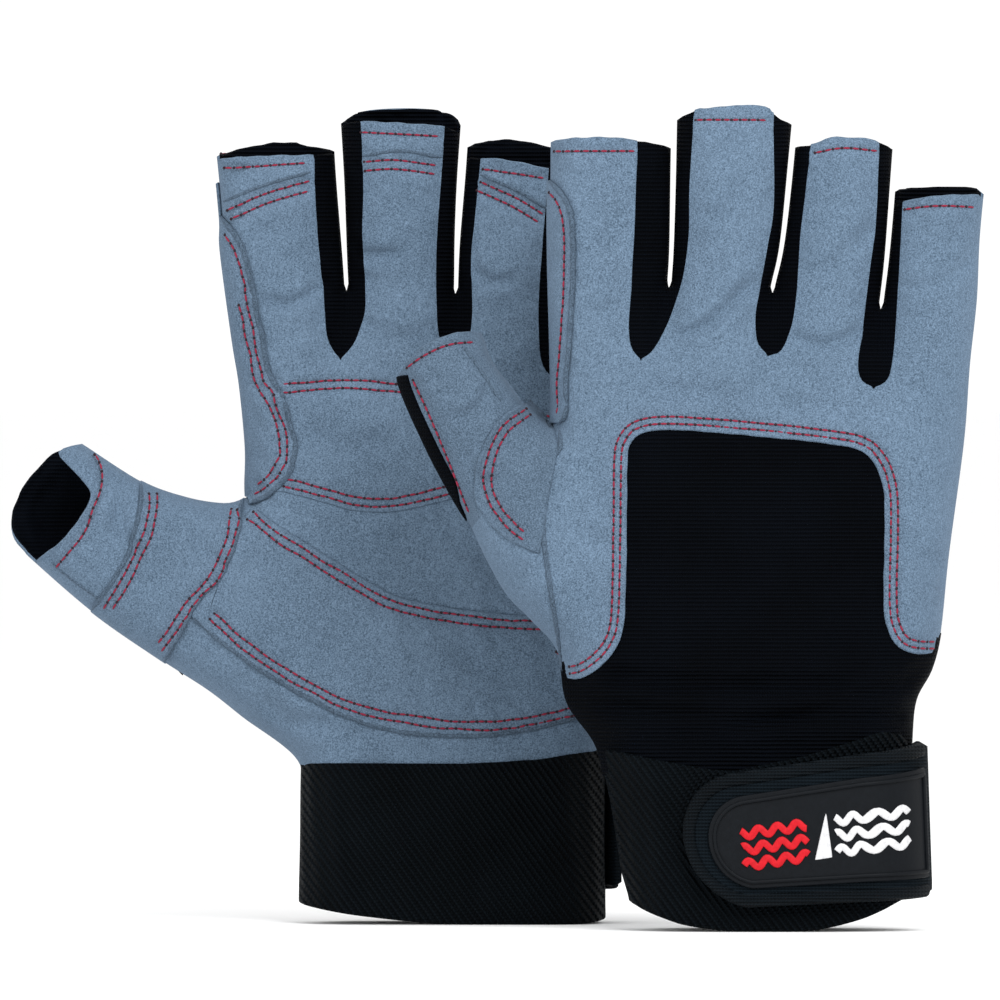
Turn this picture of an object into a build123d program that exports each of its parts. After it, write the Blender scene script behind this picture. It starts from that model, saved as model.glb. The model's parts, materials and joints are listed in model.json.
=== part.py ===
from build123d import *
import os

# A pair of short-finger sailing gloves, size L, filled out as on a hand and standing on their cuffs.
# Each glove is modelled in its own frame: X across the hand with the thumb at -X, Z up the fingers,
# and the palm facing -Y. The left glove keeps that facing and stands behind. The right glove is
# mirrored front to back, so its back faces -Y, and stands in front.

# ---- driving dimensions, millimetres and degrees -------------------------------------------------
WALL = 1.4                # suede with its bonded lining
LAYER = 0.9               # one sewn-on suede patch
ROLL = 13.0               # how far in from a side edge the hand's section rolls over
CUFF_HEIGHT = 39.0
CUFF_HALF_WIDTH = 36.4
CUFF_HALF_THICK = 18.0
CUFF_WALL = 2.2
CUFF_FLAT = 18.0          # half length of the cuff's straight lower edge, which the glove stands on
CUFF_RISE = 4.0           # how far that edge climbs to the sides
STRAP_GAP = 1.4           # room under the strap for its hook tape and the cuff's loop tape
STRAP_THICK = 2.4
LOOP_THICK = 0.5
HOOK_THICK = 0.5
BADGE_THICK = 1.2
BINDING_WIDTH = 3.0
BINDING_PROUD = 0.5
HAND_TOP = 126.0          # where the finger stalls leave the hand
FOLD_GAP = 0.2            # each side of a stall's fold line
GUSSET_WIDTH = 5.0
STRAP_FOLD = 4.0          # how far towards the back the strap's fold lies
DEPTH_OFFSET = 32.0       # each glove's distance from the middle of the pair

GLOVES = {
    "left": {
        "x": -11.42,
        "facing": 1,
        # (height, thumb-side edge, little-finger-side edge, half thickness)
        "hand": [(39, -35, 35, 16.6), (50, -46, 36.5, 16.2), (62, -56.5, 38.5, 15.6), (74, -58, 40.5, 14.8),
                 (88, -52, 42.5, 13.8), (98, -49, 44, 12.9), (110, -49.8, 45.5, 11.8), (HAND_TOP, -52, 47.2, 10.6)],
        # name: (base centre, base half width, top centre, top half width, half thickness,
        #        fold height, palm-side top, back-side top)
        "fingers": {
            "index": (-39.2, 12.3, -42.4, 13.7, 9.4, 138, 181.0, 184.5),
            "middle": (-12.7, 12.7, -11.0, 15.1, 9.6, 138, 188.0, 193.2),
            "ring": (12.4, 11.3, 16.7, 11.8, 9.2, 138, 180.0, 185.6),
            "little": (35.4, 10.9, 39.6, 10.1, 8.6, 131, 168.0, 172.0),
        },
        # fold centre, direction, root half width, fold half width, tip half width, half thickness,
        # root depth, palm-side length, edge length, back-side length, tilt towards the palm
        "thumb": {"fold": (-58.7, 82.0), "aim": (-0.892, 0.452), "root": 21.0, "base": 18.6, "tip": 14.2,
                  "thick": 10.6, "inside": 26, "palm": 29.0, "back": 46.0, "lean": 4.0},
        "knit": [(-37.6, 60.3), (-31, 66), (-30, 112), (-26, 118), (14, 116), (26, 110), (30, 92), (29, 72),
                 (34, 65), (44, 63)],
    },
    "right": {
        "x": 60.28,
        "facing": -1,
        "hand": [(39, -35, 35, 16.6), (50, -42.5, 37.5, 16.2), (62, -47.5, 40.5, 15.6), (74, -53, 43, 14.8),
                 (88, -53, 45.5, 13.8), (98, -49.5, 46.8, 12.9), (110, -47.6, 48, 11.8), (HAND_TOP, -48.6, 49.6, 10.6)],
        "fingers": {
            "index": (-36.9, 11.4, -33.9, 14.0, 9.4, 138, 181.0, 185.0),
            "middle": (-11.4, 13.2, -5.4, 13.9, 9.6, 138, 190.0, 193.0),
            "ring": (14.9, 12.1, 20.7, 11.7, 9.2, 138, 182.0, 186.0),
            "little": (38.2, 10.5, 43.0, 10.1, 8.6, 131, 174.5, 172.5),
        },
        "thumb": {"fold": (-60.6, 112.4), "aim": (-0.515, 0.857), "root": 17.5, "base": 12.9, "tip": 10.4,
                  "thick": 11.0, "inside": 30, "palm": 22.5, "back": 27.5, "lean": 4.0},
        "knit": [(-45.2, 60), (-38, 63.5), (-33, 70), (-31.8, 112), (-27, 118.2), (14, 114.5), (25, 112),
                 (30, 100), (30, 76), (32.5, 68), (43, 64.5)],
    },
}

os.makedirs("parts", exist_ok=True)


def place(piece, glove):
    """Carries a piece from its glove's own frame to its place in the pair."""
    if glove["facing"] < 0:
        piece = mirror(piece, about=Plane.XZ)
    return piece.moved(Location((glove["x"], DEPTH_OFFSET * glove["facing"], 0)))


def save(piece, side, name):
    """Labels a finished piece and writes it as its node's STEP."""
    kept = place(piece, GLOVES[side])
    kept.label = f"{side}_{name}"
    export_step(kept, f"parts/{side}_{name}.step")


def oval(height, low, high, thick, inset=0.0):
    """A flattened oval at one height: straight across the middle and rolled over at both edges."""
    with BuildSketch(Plane.XY.offset(height)) as section:
        with BuildLine():
            end = EllipticalCenterArc((high - ROLL, 0), ROLL - inset, thick - inset, -90, arc_size=180)
            far = EllipticalCenterArc((low + ROLL, 0), ROLL - inset, thick - inset, 90, arc_size=180)
            Line(end @ 1, far @ 0)
            Line(far @ 1, end @ 0)
        make_face()
    return section.sketch


def hand_body(glove, inset=0.0):
    """The hand from the cuff to the finger stalls, as a solid, drawn in by inset."""
    rows = glove["hand"]
    sections = []
    for number, (height, low, high, thick) in enumerate(rows):
        # The inner body ends short of the top, which leaves the webs between the stalls.
        drop = inset if number == len(rows) - 1 and inset > 0 else 0
        sections.append(oval(height - drop, low, high, thick, inset))
    with BuildPart() as body:
        for section in sections:
            add(section)
        loft()
    return body.part


def stall(finger, low, high, inset=0.0):
    """A finger stall between two heights, as a solid."""
    base, base_half, top, top_half, thick, _, _, back_top = finger
    span = back_top - HAND_TOP
    with BuildPart() as tube:
        for height in (low, high):
            share = (height - HAND_TOP) / span
            with BuildSketch(Plane.XY.offset(height)):
                with Locations((base + (top - base) * share, 0)):
                    Ellipse(base_half + (top_half - base_half) * share - inset, thick - inset)
        loft(ruled=True)
    return tube.part


def thumb_plane(thumb, along):
    """A plane across the thumb: its X runs across the thumb and its Y towards the back of the hand."""
    (x, z), (dx, dz) = thumb["fold"], thumb["aim"]
    return Plane(origin=(x + dx * along, 0, z + dz * along), x_dir=(-dz, 0, dx), z_dir=(dx, 0, dz))


def thumb_tube(thumb, low, high, inset=0.0):
    """The thumb between two distances from its fold, as a solid that leans to the palm side."""
    with BuildPart() as tube:
        for along in (low, high):
            if along <= 0:
                half = thumb["base"] + (thumb["root"] - thumb["base"]) * -along / thumb["inside"]
            else:
                half = thumb["base"] + (thumb["tip"] - thumb["base"]) * along / thumb["back"]
            with BuildSketch(thumb_plane(thumb, along)):
                # The sketch's Y is the cross product of the axis and X, which points to the palm side.
                with Locations((0, thumb["lean"])):
                    Ellipse(half - inset, thumb["thick"] - inset)
        loft(ruled=True)
    return tube.part


def prism(points):
    """A block through the whole glove with the outline given in the X-Z plane."""
    with BuildPart() as block:
        with BuildSketch(Plane.XZ):
            with BuildLine():
                Polyline(*points, close=True)
            make_face()
        extrude(amount=60, both=True)
    return block.part


def slab(low, high, front, back, floor, ceiling):
    """An axis-aligned block from its limits."""
    with BuildPart() as block:
        with Locations(((low + high) / 2, (front + back) / 2, (floor + ceiling) / 2)):
            Box(high - low, back - front, ceiling - floor)
    return block.part


def keep_common(name_part, *tools):
    """What a piece shares with every tool."""
    with BuildPart() as piece:
        add(name_part)
        for tool in tools:
            add(tool, mode=Mode.INTERSECT)
    return piece.part


def together(pieces):
    """Several pieces kept as one sub-part."""
    with BuildPart() as whole:
        for piece in pieces:
            add(piece)
    return whole.part


def cut_away(name_part, *tools):
    """What is left of a piece without the tools."""
    with BuildPart() as piece:
        add(name_part)
        for tool in tools:
            add(tool, mode=Mode.SUBTRACT)
    return piece.part


FAR = 200.0
PALM_HALF = slab(-FAR, FAR, -FAR, 0, -10, FAR)
BACK_HALF = slab(-FAR, FAR, 0, FAR, -10, FAR)


def finger_sides(finger, low, high, name):
    """The strips of a stall that face its neighbours, which are stretch gussets."""
    base, base_half, top, top_half, _, _, _, back_top = finger
    lean = (top - base) / (back_top - HAND_TOP)
    grow = (top_half - base_half) / (back_top - HAND_TOP)
    strips = []
    for side in (-1, 1):
        if (name, side) in (("index", -1), ("little", 1)):
            continue
        edge = [base + (lean + side * grow) * (h - HAND_TOP) + side * (base_half - GUSSET_WIDTH) for h in (low, high)]
        strips.append(prism([(edge[0], low), (edge[0] + side * 30, low), (edge[1] + side * 30, high), (edge[1], high)]))
    return strips


def build_fingers(side, glove):
    """Each stall above its fold: palm face, back face and the gussets along its sides."""
    for name, finger in glove["fingers"].items():
        fold, palm_top, back_top = finger[5:]
        low, high = fold + FOLD_GAP, max(palm_top, back_top)
        tube = cut_away(stall(finger, low, high), stall(finger, low - 1, high + 1, WALL))
        strips = finger_sides(finger, low - 1, high + 1, name)
        faces = cut_away(tube, *strips)
        save(keep_common(faces, PALM_HALF, slab(-FAR, FAR, -FAR, FAR, 0, palm_top)), side, f"{name}_front")
        save(keep_common(faces, BACK_HALF, slab(-FAR, FAR, -FAR, FAR, 0, back_top)), side, f"{name}_back")
        short = slab(-FAR, FAR, -FAR, FAR, 0, min(palm_top, back_top))
        save(together([keep_common(tube, strip, short) for strip in strips]), side, f"{name}_gussets")


def build_thumb(side, glove):
    """The thumb stall past its fold: palm face, back face and the stretch gusset on its outer edge."""
    thumb = glove["thumb"]
    (x, z), (dx, dz) = thumb["fold"], thumb["aim"]
    tube = cut_away(thumb_tube(thumb, FOLD_GAP, thumb["back"]), thumb_tube(thumb, 0, thumb["back"] + 1, WALL))
    # The mouth is cut at a slant, so the palm side is the shorter one.
    rake = (thumb["back"] - thumb["palm"]) / (2 * thumb["thick"])
    mouth = thumb_plane(thumb, thumb["palm"])
    across, along, out = Vector(*mouth.x_dir), Vector(*mouth.z_dir), Vector(0, -1, 0)
    palm_lip = mouth.origin + out * (thumb["lean"] + thumb["thick"])
    slant = Plane(origin=palm_lip, x_dir=across, z_dir=along + out * rake)
    with BuildPart() as trimmed:
        add(tube)
        split(bisect_by=slant, keep=Keep.BOTTOM)
    with BuildPart() as palm_block:
        with BuildSketch(Plane(origin=(x, -thumb["lean"], z), x_dir=(dx, 0, dz), z_dir=(0, -1, 0))):
            Rectangle(FAR, FAR)
        extrude(amount=60)
    with BuildPart() as edge_block:
        outer = Plane(origin=(x, 0, z), x_dir=(dx, 0, dz), z_dir=-across)
        if (outer.z_dir.Z) > 0:
            outer = Plane(origin=(x, 0, z), x_dir=(dx, 0, dz), z_dir=across)
        with BuildSketch(outer.offset(thumb["tip"] - GUSSET_WIDTH / 2)):
            Rectangle(FAR, FAR)
        extrude(amount=60)
    save(keep_common(trimmed.part, palm_block.part), side, "thumb_front")
    back = cut_away(trimmed.part, palm_block.part)
    save(cut_away(back, edge_block.part), side, "thumb_back")
    save(keep_common(back, edge_block.part), side, "thumb_gusset")


def hand_shell(glove):
    """The hand's wall with a short stub for each stall and for the thumb."""
    thumb = glove["thumb"]
    fingers = glove["fingers"].values()
    outside = [hand_body(glove), thumb_tube(thumb, -thumb["inside"], -FOLD_GAP)]
    outside += [stall(finger, HAND_TOP - 3, finger[5] - FOLD_GAP) for finger in fingers]
    hollow = [hand_body(glove, WALL), thumb_tube(thumb, -thumb["inside"] + 2, 1, WALL)]
    hollow += [stall(finger, HAND_TOP - 6, finger[5] + 1, WALL) for finger in fingers]
    return cut_away(together(outside), *hollow)


def patch(glove, points, clear):
    """A suede patch one layer thick, laid on the palm and kept off the thumb's stub."""
    layer = cut_away(hand_body(glove, -LAYER), hand_body(glove))
    return cut_away(keep_common(layer, PALM_HALF, prism(points)), clear)


def build_hand(side, glove):
    """Palm, back, stretch-knit insert, web gussets and the palm's sewn-on patches."""
    shell = hand_shell(glove)
    fingers = list(glove["fingers"].values())
    crotches = [(a[0] + a[1] + b[0] - b[1]) / 2 for a, b in zip(fingers, fingers[1:])]
    web_tool = [slab(c - GUSSET_WIDTH, c + GUSSET_WIDTH, -FAR, FAR, HAND_TOP - 2, FAR) for c in crotches]
    faces = cut_away(shell, *web_tool)
    palm = keep_common(faces, PALM_HALF)
    back = keep_common(faces, BACK_HALF)
    webs = together([keep_common(shell, tool) for tool in web_tool])
    knit_points = [(-60, 20), (-60, glove["knit"][0][1])] + glove["knit"] + [(60, glove["knit"][-1][1]), (60, 20)]
    knit_tool = prism(knit_points)
    save(palm, side, "palm_panel")
    save(cut_away(back, knit_tool), side, "back_panel")
    save(keep_common(back, knit_tool), side, "back_knit")
    save(webs, side, "web_gussets")
    low_edge = glove["hand"][2][1]
    thumb_clear = thumb_tube(glove["thumb"], -glove["thumb"]["inside"], 2, -LAYER)
    top = HAND_TOP - 3
    centre = [(-33, 98), (-12, 94), (12, 96), (60, 101), (60, top), (-37, top), (-34, 110)]
    heel = [(-60, 74), (-30, 60), (-10, 52), (10, 50), (60, 58), (60, 100.4), (12, 95.4), (-12, 93.4), (-33, 97.4),
            (-60, 97)]
    index = [(low_edge - 12, 98.5), (-36, 98.5), (-34.5, 104), (-35, 111), (-37.8, top), (low_edge - 12, top)]
    save(patch(glove, centre, thumb_clear), side, "palm_patch")
    save(patch(glove, heel, thumb_clear), side, "heel_patch")
    save(patch(glove, index, thumb_clear), side, "index_patch")


def ring(grow, thick, floor, ceiling):
    """A band that follows the cuff's oval, grow outside it and thick through."""
    with BuildPart() as band:
        for extra, mode in ((grow + thick, Mode.ADD), (grow, Mode.SUBTRACT)):
            half, roll, thick_half = CUFF_HALF_WIDTH + extra, ROLL + extra, CUFF_HALF_THICK + extra
            with BuildSketch(Plane.XY.offset(floor)):
                with BuildLine():
                    end = EllipticalCenterArc((half - roll, 0), roll, thick_half, -90, arc_size=180)
                    far = EllipticalCenterArc((roll - half, 0), roll, thick_half, 90, arc_size=180)
                    Line(end @ 1, far @ 0)
                    Line(far @ 1, end @ 0)
                make_face()
            extrude(amount=ceiling - floor, mode=mode)
    return band.part


def build_cuff(side, glove):
    """The elastic cuff, with its loop tape, and the strap that closes over it."""
    full = ring(-CUFF_WALL, CUFF_WALL, 0, CUFF_HEIGHT)
    with BuildPart() as band:
        add(full)
        for way in (-1, 1):
            with BuildSketch(Plane.XZ):
                with BuildLine():
                    bottom = Line((way * CUFF_FLAT, 0), (way * 60, 0))
                    rise = TangentArc((way * CUFF_FLAT, 0), (way * (CUFF_HALF_WIDTH + 1), CUFF_RISE), tangent=(way, 0))
                    Line(rise @ 1, (way * 60, CUFF_RISE))
                    Line((way * 60, CUFF_RISE), bottom @ 1)
                make_face()
            extrude(amount=60, both=True, mode=Mode.SUBTRACT)
    save(band.part, side, "cuff_band")

    loop_tool = slab(-24, 20, 0, FAR, 8, 32)
    save(keep_common(ring(0, LOOP_THICK, 8, 32), loop_tool), side, "loop_tape")

    # The strap starts at the little-finger edge and ends in a round tab over the back of the wrist.
    with BuildPart() as tab:
        with BuildSketch(Plane.XZ):
            with BuildLine():
                top = Line((60, 46), (-6, 34))
                nose = TangentArc(top @ 1, (-6, 6), tangent=top % 1)
                Line(nose @ 1, (60, 10))
                Line((60, 10), (60, 46))
            make_face()
        extrude(amount=60, both=True)
    with BuildPart() as inner_tab:
        with BuildSketch(Plane.XZ):
            with BuildLine():
                top = Line((60, 46 - BINDING_WIDTH), (-6, 34 - BINDING_WIDTH))
                nose = TangentArc(top @ 1, (-6, 6 + BINDING_WIDTH), tangent=top % 1)
                Line(nose @ 1, (60, 10 + BINDING_WIDTH))
                Line((60, 10 + BINDING_WIDTH), (60, 46 - BINDING_WIDTH))
            make_face()
        extrude(amount=60, both=True)
    with BuildPart() as badge_tab:
        with BuildSketch(Plane.XZ):
            with BuildLine():
                top = Line((26, 34), (-5, 29))
                nose = TangentArc(top @ 1, (-5, 11), tangent=top % 1)
                Line(nose @ 1, (26, 13))
                Line((26, 13), (26, 34))
            make_face()
        extrude(amount=60, both=True)

    moving = slab(-FAR, FAR, STRAP_FOLD + FOLD_GAP, FAR, 0, FAR)
    root = slab(0, FAR, -6, STRAP_FOLD - FOLD_GAP, 0, FAR)
    sheet = ring(STRAP_GAP, STRAP_THICK, 0, 50)
    save(keep_common(sheet, tab.part, inner_tab.part, moving), side, "strap")
    edge = ring(STRAP_GAP, STRAP_THICK + BINDING_PROUD, 0, 50)
    save(cut_away(keep_common(edge, tab.part, moving), inner_tab.part), side, "strap_binding")
    save(keep_common(ring(0, STRAP_GAP + STRAP_THICK, 0, CUFF_HEIGHT), tab.part, root), side, "strap_root")
    hook_tool = slab(-10, 18, 0, FAR, 12, 28)
    save(keep_common(ring(STRAP_GAP - HOOK_THICK, HOOK_THICK, 12, 28), hook_tool), side, "hook_tape")
    save(keep_common(ring(STRAP_GAP + STRAP_THICK, BADGE_THICK, 0, 50), badge_tab.part, moving), side, "badge")


for side, glove in GLOVES.items():
    build_fingers(side, glove)
    build_thumb(side, glove)
    build_hand(side, glove)
    build_cuff(side, glove)
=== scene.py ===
import json
import math

import bmesh
import bpy
import numpy as np
from mathutils import Matrix, Vector, geometry

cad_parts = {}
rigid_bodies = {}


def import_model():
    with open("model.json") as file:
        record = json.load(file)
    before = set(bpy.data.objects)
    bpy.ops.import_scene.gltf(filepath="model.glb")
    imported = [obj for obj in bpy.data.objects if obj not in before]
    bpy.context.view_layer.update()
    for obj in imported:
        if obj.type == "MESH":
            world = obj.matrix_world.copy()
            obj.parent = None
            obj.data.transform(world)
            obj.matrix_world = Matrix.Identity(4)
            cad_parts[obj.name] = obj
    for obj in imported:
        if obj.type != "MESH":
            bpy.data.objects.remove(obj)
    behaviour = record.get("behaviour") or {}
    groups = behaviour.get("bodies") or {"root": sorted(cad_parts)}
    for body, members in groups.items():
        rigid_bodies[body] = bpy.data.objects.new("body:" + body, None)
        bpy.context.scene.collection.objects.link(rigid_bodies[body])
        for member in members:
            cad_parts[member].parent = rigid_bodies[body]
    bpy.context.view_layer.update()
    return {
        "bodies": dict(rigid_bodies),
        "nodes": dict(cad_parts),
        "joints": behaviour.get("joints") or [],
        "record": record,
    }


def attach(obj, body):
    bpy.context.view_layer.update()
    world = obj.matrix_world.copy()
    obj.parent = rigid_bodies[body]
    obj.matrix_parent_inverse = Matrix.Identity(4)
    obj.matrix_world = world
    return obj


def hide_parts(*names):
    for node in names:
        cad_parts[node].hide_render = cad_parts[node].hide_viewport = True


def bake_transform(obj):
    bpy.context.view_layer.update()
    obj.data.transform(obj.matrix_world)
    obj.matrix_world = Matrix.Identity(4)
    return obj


bl_info = {
    "name": "Sailing gloves",
    "version": (1, 0, 0),
    "blender": (4, 5, 0),
    "location": "3D View > Sidebar > Gloves",
    "description": "A pair of short-finger suede sailing gloves in the frame of their CAD part",
    "category": "Object",
}

MM = 0.001
CUT = 123.5      # height at which a finger's own pieces start, millimetres
FINGERS = ("index", "middle", "ring", "little")
FACES = ("palm", "back")
CHUNK = 3000     # plan points worked out at a time
INSET = 1.6      # how far the palm's second layers stay off the side edges, millimetres
UNDER = 4.5      # how far the knit reaches in under the suede round it
RAISED = 0.18    # how high a stitch stands on its layer
THUMB_TIP = (-53.5, 145)     # above the cut, a thumb's points lie left of this x and below this z

# Each glove has its own frame, in millimetres: x across the hand with the thumb at -x, z up the
# fingers, y from the palm (-) to the back (+). "x" is the glove's place in the pair.
GLOVES = {
    "left": {
        "x": -11.42, "y": 32.0, "facing": 1, "gap": 0.5,
        # side edges, clockwise as seen on the palm side, so the hand is always on their right
        "low": [(-35.5, 28), (-36.5, 38.5), (-49.5, 48.7), (-57.8, 55.2), (-69.5, 62.8), (-84.3, 73.1),
                (-98.6, 85.4),
                (-104.2, 91), (-111, 98)],
        "thumb_top": [(-97, 119.5), (-87.4, 113.4), (-73.3, 104.4), (-62.9, 100.6), (-55, 99.2),
                      (-51, 99.5), (-48.1, 101)],
        "index_out": [(-48.1, 101), (-48.2, 104), (-48.1, 112.8), (-49.5, 127.4), (-51.2, 138), (-54, 159),
                      (-54.2, 167), (-56.2, 188)],
        "slits": [[(-24.9, 150.4), (-26, 169.4), (-27.6, 196)], [(1.0, 150), (1.5, 165), (3.6, 196)],
                  [(25.2, 146), (26.6, 160), (29.3, 190)]],
        "outer": [(49.9, 180), (48.5, 150), (47.2, 126), (45.5, 110), (42.5, 88), (38.8, 62), (36.4, 45),
                  (35.6, 28)],
        "grid": {38: (-35, -17, 0, 17, 35.5), 70: (-44, -22, -1, 20, 39.5), 98: (-48.5, -24, 0, 23.5, 44),
                 127: (-49.5, -25.5, 0.7, 24, 47.2), 150: (-52.8, -24.9, 1, 25.4, 48.5),
                 190: (-56, -27.3, 3.3, 29.3, 50)},
        "palm_hems": [[(-57, 180.2), (-44, 181), (-33, 181.3), (-26, 182.4)], [(-28, 188.5), (-21.6, 189.4),
                      (-12, 189), (-1.6, 188), (5, 186.2)],
                      [(1, 181.5), (7.1, 180.6), (15, 179.8), (23.5, 178),
                      (31, 177.6)], [(27, 168.8), (38, 167.8), (52, 168.4)]],
        "back_hems": [[(-57, 181), (-41, 184.4), (-26, 182.6)],
                      [(-28, 188.7), (-19.5, 192.4), (-2, 192.2), (5, 187)],
                      [(1, 183), (6, 184.6), (16, 184.8), (31, 181)],
                      [(27, 169.8), (38, 172.6), (52, 170.4)]],
        "crotch": (-48.1, 101), "root": (-62.4, 58),
        "fold": (-58.7, 82.0), "aim": (-0.892, 0.452), "blend": (-2.0, 17.0), "thumb_thick": 10.8,
        "palm_mouth": [(-98.2, 85.2), (-95.7, 87.2), (-91.1, 90.8), (-86.8, 96.6), (-84.4, 101.6),
                       (-87.2, 105.8),
                       (-91.2, 110), (-92.4, 111.6), (-90.4, 112.8), (-87.4, 113.4)],
        "back_mouth": [(-101, 87.8), (-103.6, 91), (-104.2, 95.5), (-101.7, 102.8), (-97.6, 107.8),
                       (-93.6, 111.2),
                       (-87.4, 113.4)],
        "cuff_low": [(0, -36.3), (20, -36), (45, -35.6)], "cuff_high": [(0, 36.5), (45, 36.2)],
        "cuff_top": [(-37, 38.2), (3, 38), (20.7, 39), (37, 41.6)],
        "cuff_foot": [(-38, 6.4), (-35, 4.4), (-24, 2.4), (-8, 0.6), (4, 0), (30, 0), (38, 1.2)],
    },
    "right": {
        "x": 60.28, "y": -32.0, "facing": -1, "gap": 0.18,
        "low": [(-35, 28), (-37.6, 42.5), (-44.6, 53.2), (-46.8, 65), (-53, 72.4), (-58.7, 78.3),
                (-63.7, 87),
                (-66.9, 94), (-70.4, 99.5), (-76.4, 110.5), (-83.2, 125.5), (-84.4, 132),
                (-85, 144)],
        "thumb_top": [(-69, 147.5), (-64.6, 139.5), (-62.3, 133.3), (-58.7, 128.3), (-54.5, 122.6),
                      (-50, 118), (-47.9, 117.8)],
        "index_out": [(-47.9, 117.8), (-47.7, 124), (-47.9, 135.8), (-48.5, 161.5), (-48.4, 190)],
        "slits": [[(-20.7, 151), (-20.1, 162.6), (-19.4, 198)], [(3.4, 150), (6, 163), (9.3, 196)],
                  [(28.8, 146), (30.4, 160), (32.7, 190)]],
        "outer": [(53.4, 178), (51.9, 162.2), (51.2, 147.4), (49.6, 132.3), (48.2, 114.2), (44.7, 87.9),
                  (42.8, 70),
                  (40.6, 61), (37, 54), (36, 45), (35.6, 28)],
        "grid": {38: (-35, -17, 0, 17, 35.5), 70: (-44, -22, -1, 20, 42.8), 98: (-47.5, -23, 0, 24, 46.4),
                 127: (-47.7, -24, 2.2, 26.4, 49.2), 150: (-48.2, -20.7, 3.4, 29, 51.4),
                 190: (-48.4, -19.4, 9.2, 32.7, 53.5)},
        "palm_hems": [[(-50, 181.6), (-36, 181), (-17, 182)], [(-21, 188.5), (-6, 189.2), (11, 187)],
                      [(6, 182.5), (20, 181.6), (34, 181.6)],
                      [(29, 172.4), (34, 173.2), (50, 173.2), (55, 171)]],
        "back_hems": [[(-50, 184), (-38, 185), (-28.2, 184.3), (-17, 182.4)], [(-21, 188.8), (-14.6, 191.4),
                      (-3, 192.8), (2, 192.2), (4, 190), (11, 187.4)],
                      [(6, 183), (13.2, 183.4), (17.2, 184.9),
                      (25.6, 184.5), (34, 182)], [(29, 170.6), (34, 170), (42, 171.2), (52, 171.4),
                                                  (55, 169.8)]],
        "crotch": (-47.9, 117.8), "root": (-66.9, 94),
        "fold": (-60.6, 112.4), "aim": (-0.515, 0.857), "blend": (-2.0, 13.0), "thumb_thick": 10.4,
        "palm_mouth": [(-83.6, 128.5), (-79, 133), (-73, 135.8), (-64.6, 139.5)],
        "back_mouth": [(-83.9, 130), (-81.4, 133.4), (-77.6, 136.4), (-72.3, 138.8), (-66.7, 139.8),
                       (-64.6, 139.5)],
        "cuff_low": [(0, -29.5), (8, -30.3), (13.4, -31.9), (30, -34.5), (45, -37.6)],
        "cuff_high": [(0, 35.6), (10, 37), (45, 35.8)],
        "cuff_top": [(-38, 43.9), (-22, 40.4), (-9.2, 37.9), (-3.7, 37.5), (12.5, 41), (25.9, 45.2),
                     (38, 50.5)],
        "cuff_foot": [(-38, 10), (-34, 7.2), (-31, 5.5), (-27, 3.7), (-20, 1.6), (-11, 0.3), (-3, 0),
                      (8, 0), (16, 0.9),
                      (27, 4), (38, 9.4)],
    },
}

# Edges between suede and gusset: for each web, from the hem of one finger to the point and back up.
# The palm's seams are given in the left glove's frame, the back's in the right glove's.
VEES = {
    "palm": [([(-33.1, 190), (-31.9, 165.2), (-30.3, 148.5), (-29.7, 140), (-28.5, 136), (-26.3, 133.2)],
              [(-26.3, 133.2), (-22.8, 137.6), (-20.6, 144), (-20.4, 151), (-21.1, 163), (-20.9, 176),
               (-21.8, 198)]),
             ([(-1.2, 196), (-2.5, 175.8), (-3.6, 159), (-3.4, 142), (-2, 136), (0.8, 133.2)],
              [(0.8, 133.2), (3.8, 136.6), (4.8, 143), (4.8, 150), (4.6, 158), (5.7, 168.5), (7.5, 188)]),
             ([(23.9, 190), (21.8, 165), (20.6, 148), (20.6, 138), (21.4, 132), (23.6, 129)],
              [(23.6, 129), (26.2, 131.6), (27.8, 138), (28.6, 147), (30, 160), (31.5, 178)])],
    "back": [([(-28.2, 190), (-28.9, 166.4), (-29.9, 149), (-30.4, 141.5), (-29.8, 136), (-27.4, 133.2)],
              [(-27.4, 133.2), (-24.6, 135.2), (-21.8, 140), (-18.9, 148), (-17.3, 154), (-16.2, 163),
               (-16, 175),
               (-14.4, 198)]),
             ([(3.3, 196), (3.7, 170.6), (2.2, 159.8), (0.4, 150), (-0.7, 143), (-0.2, 137.2),
               (2.2, 134.2)],
              [(2.2, 134.2), (5.2, 135.2), (7.6, 140.4), (9.0, 149), (9.8, 162), (11.3, 174.4),
               (13.1, 190)]),
             ([(28.4, 190), (27.6, 167), (26.1, 154.6), (24.4, 141), (23.1, 132.4), (24, 128.4),
               (26.9, 126.7)],
              [(26.9, 126.7), (30, 128.2), (31.4, 132.4), (32.2, 143), (33.2, 159.6), (34.1, 178)])],
}

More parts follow.
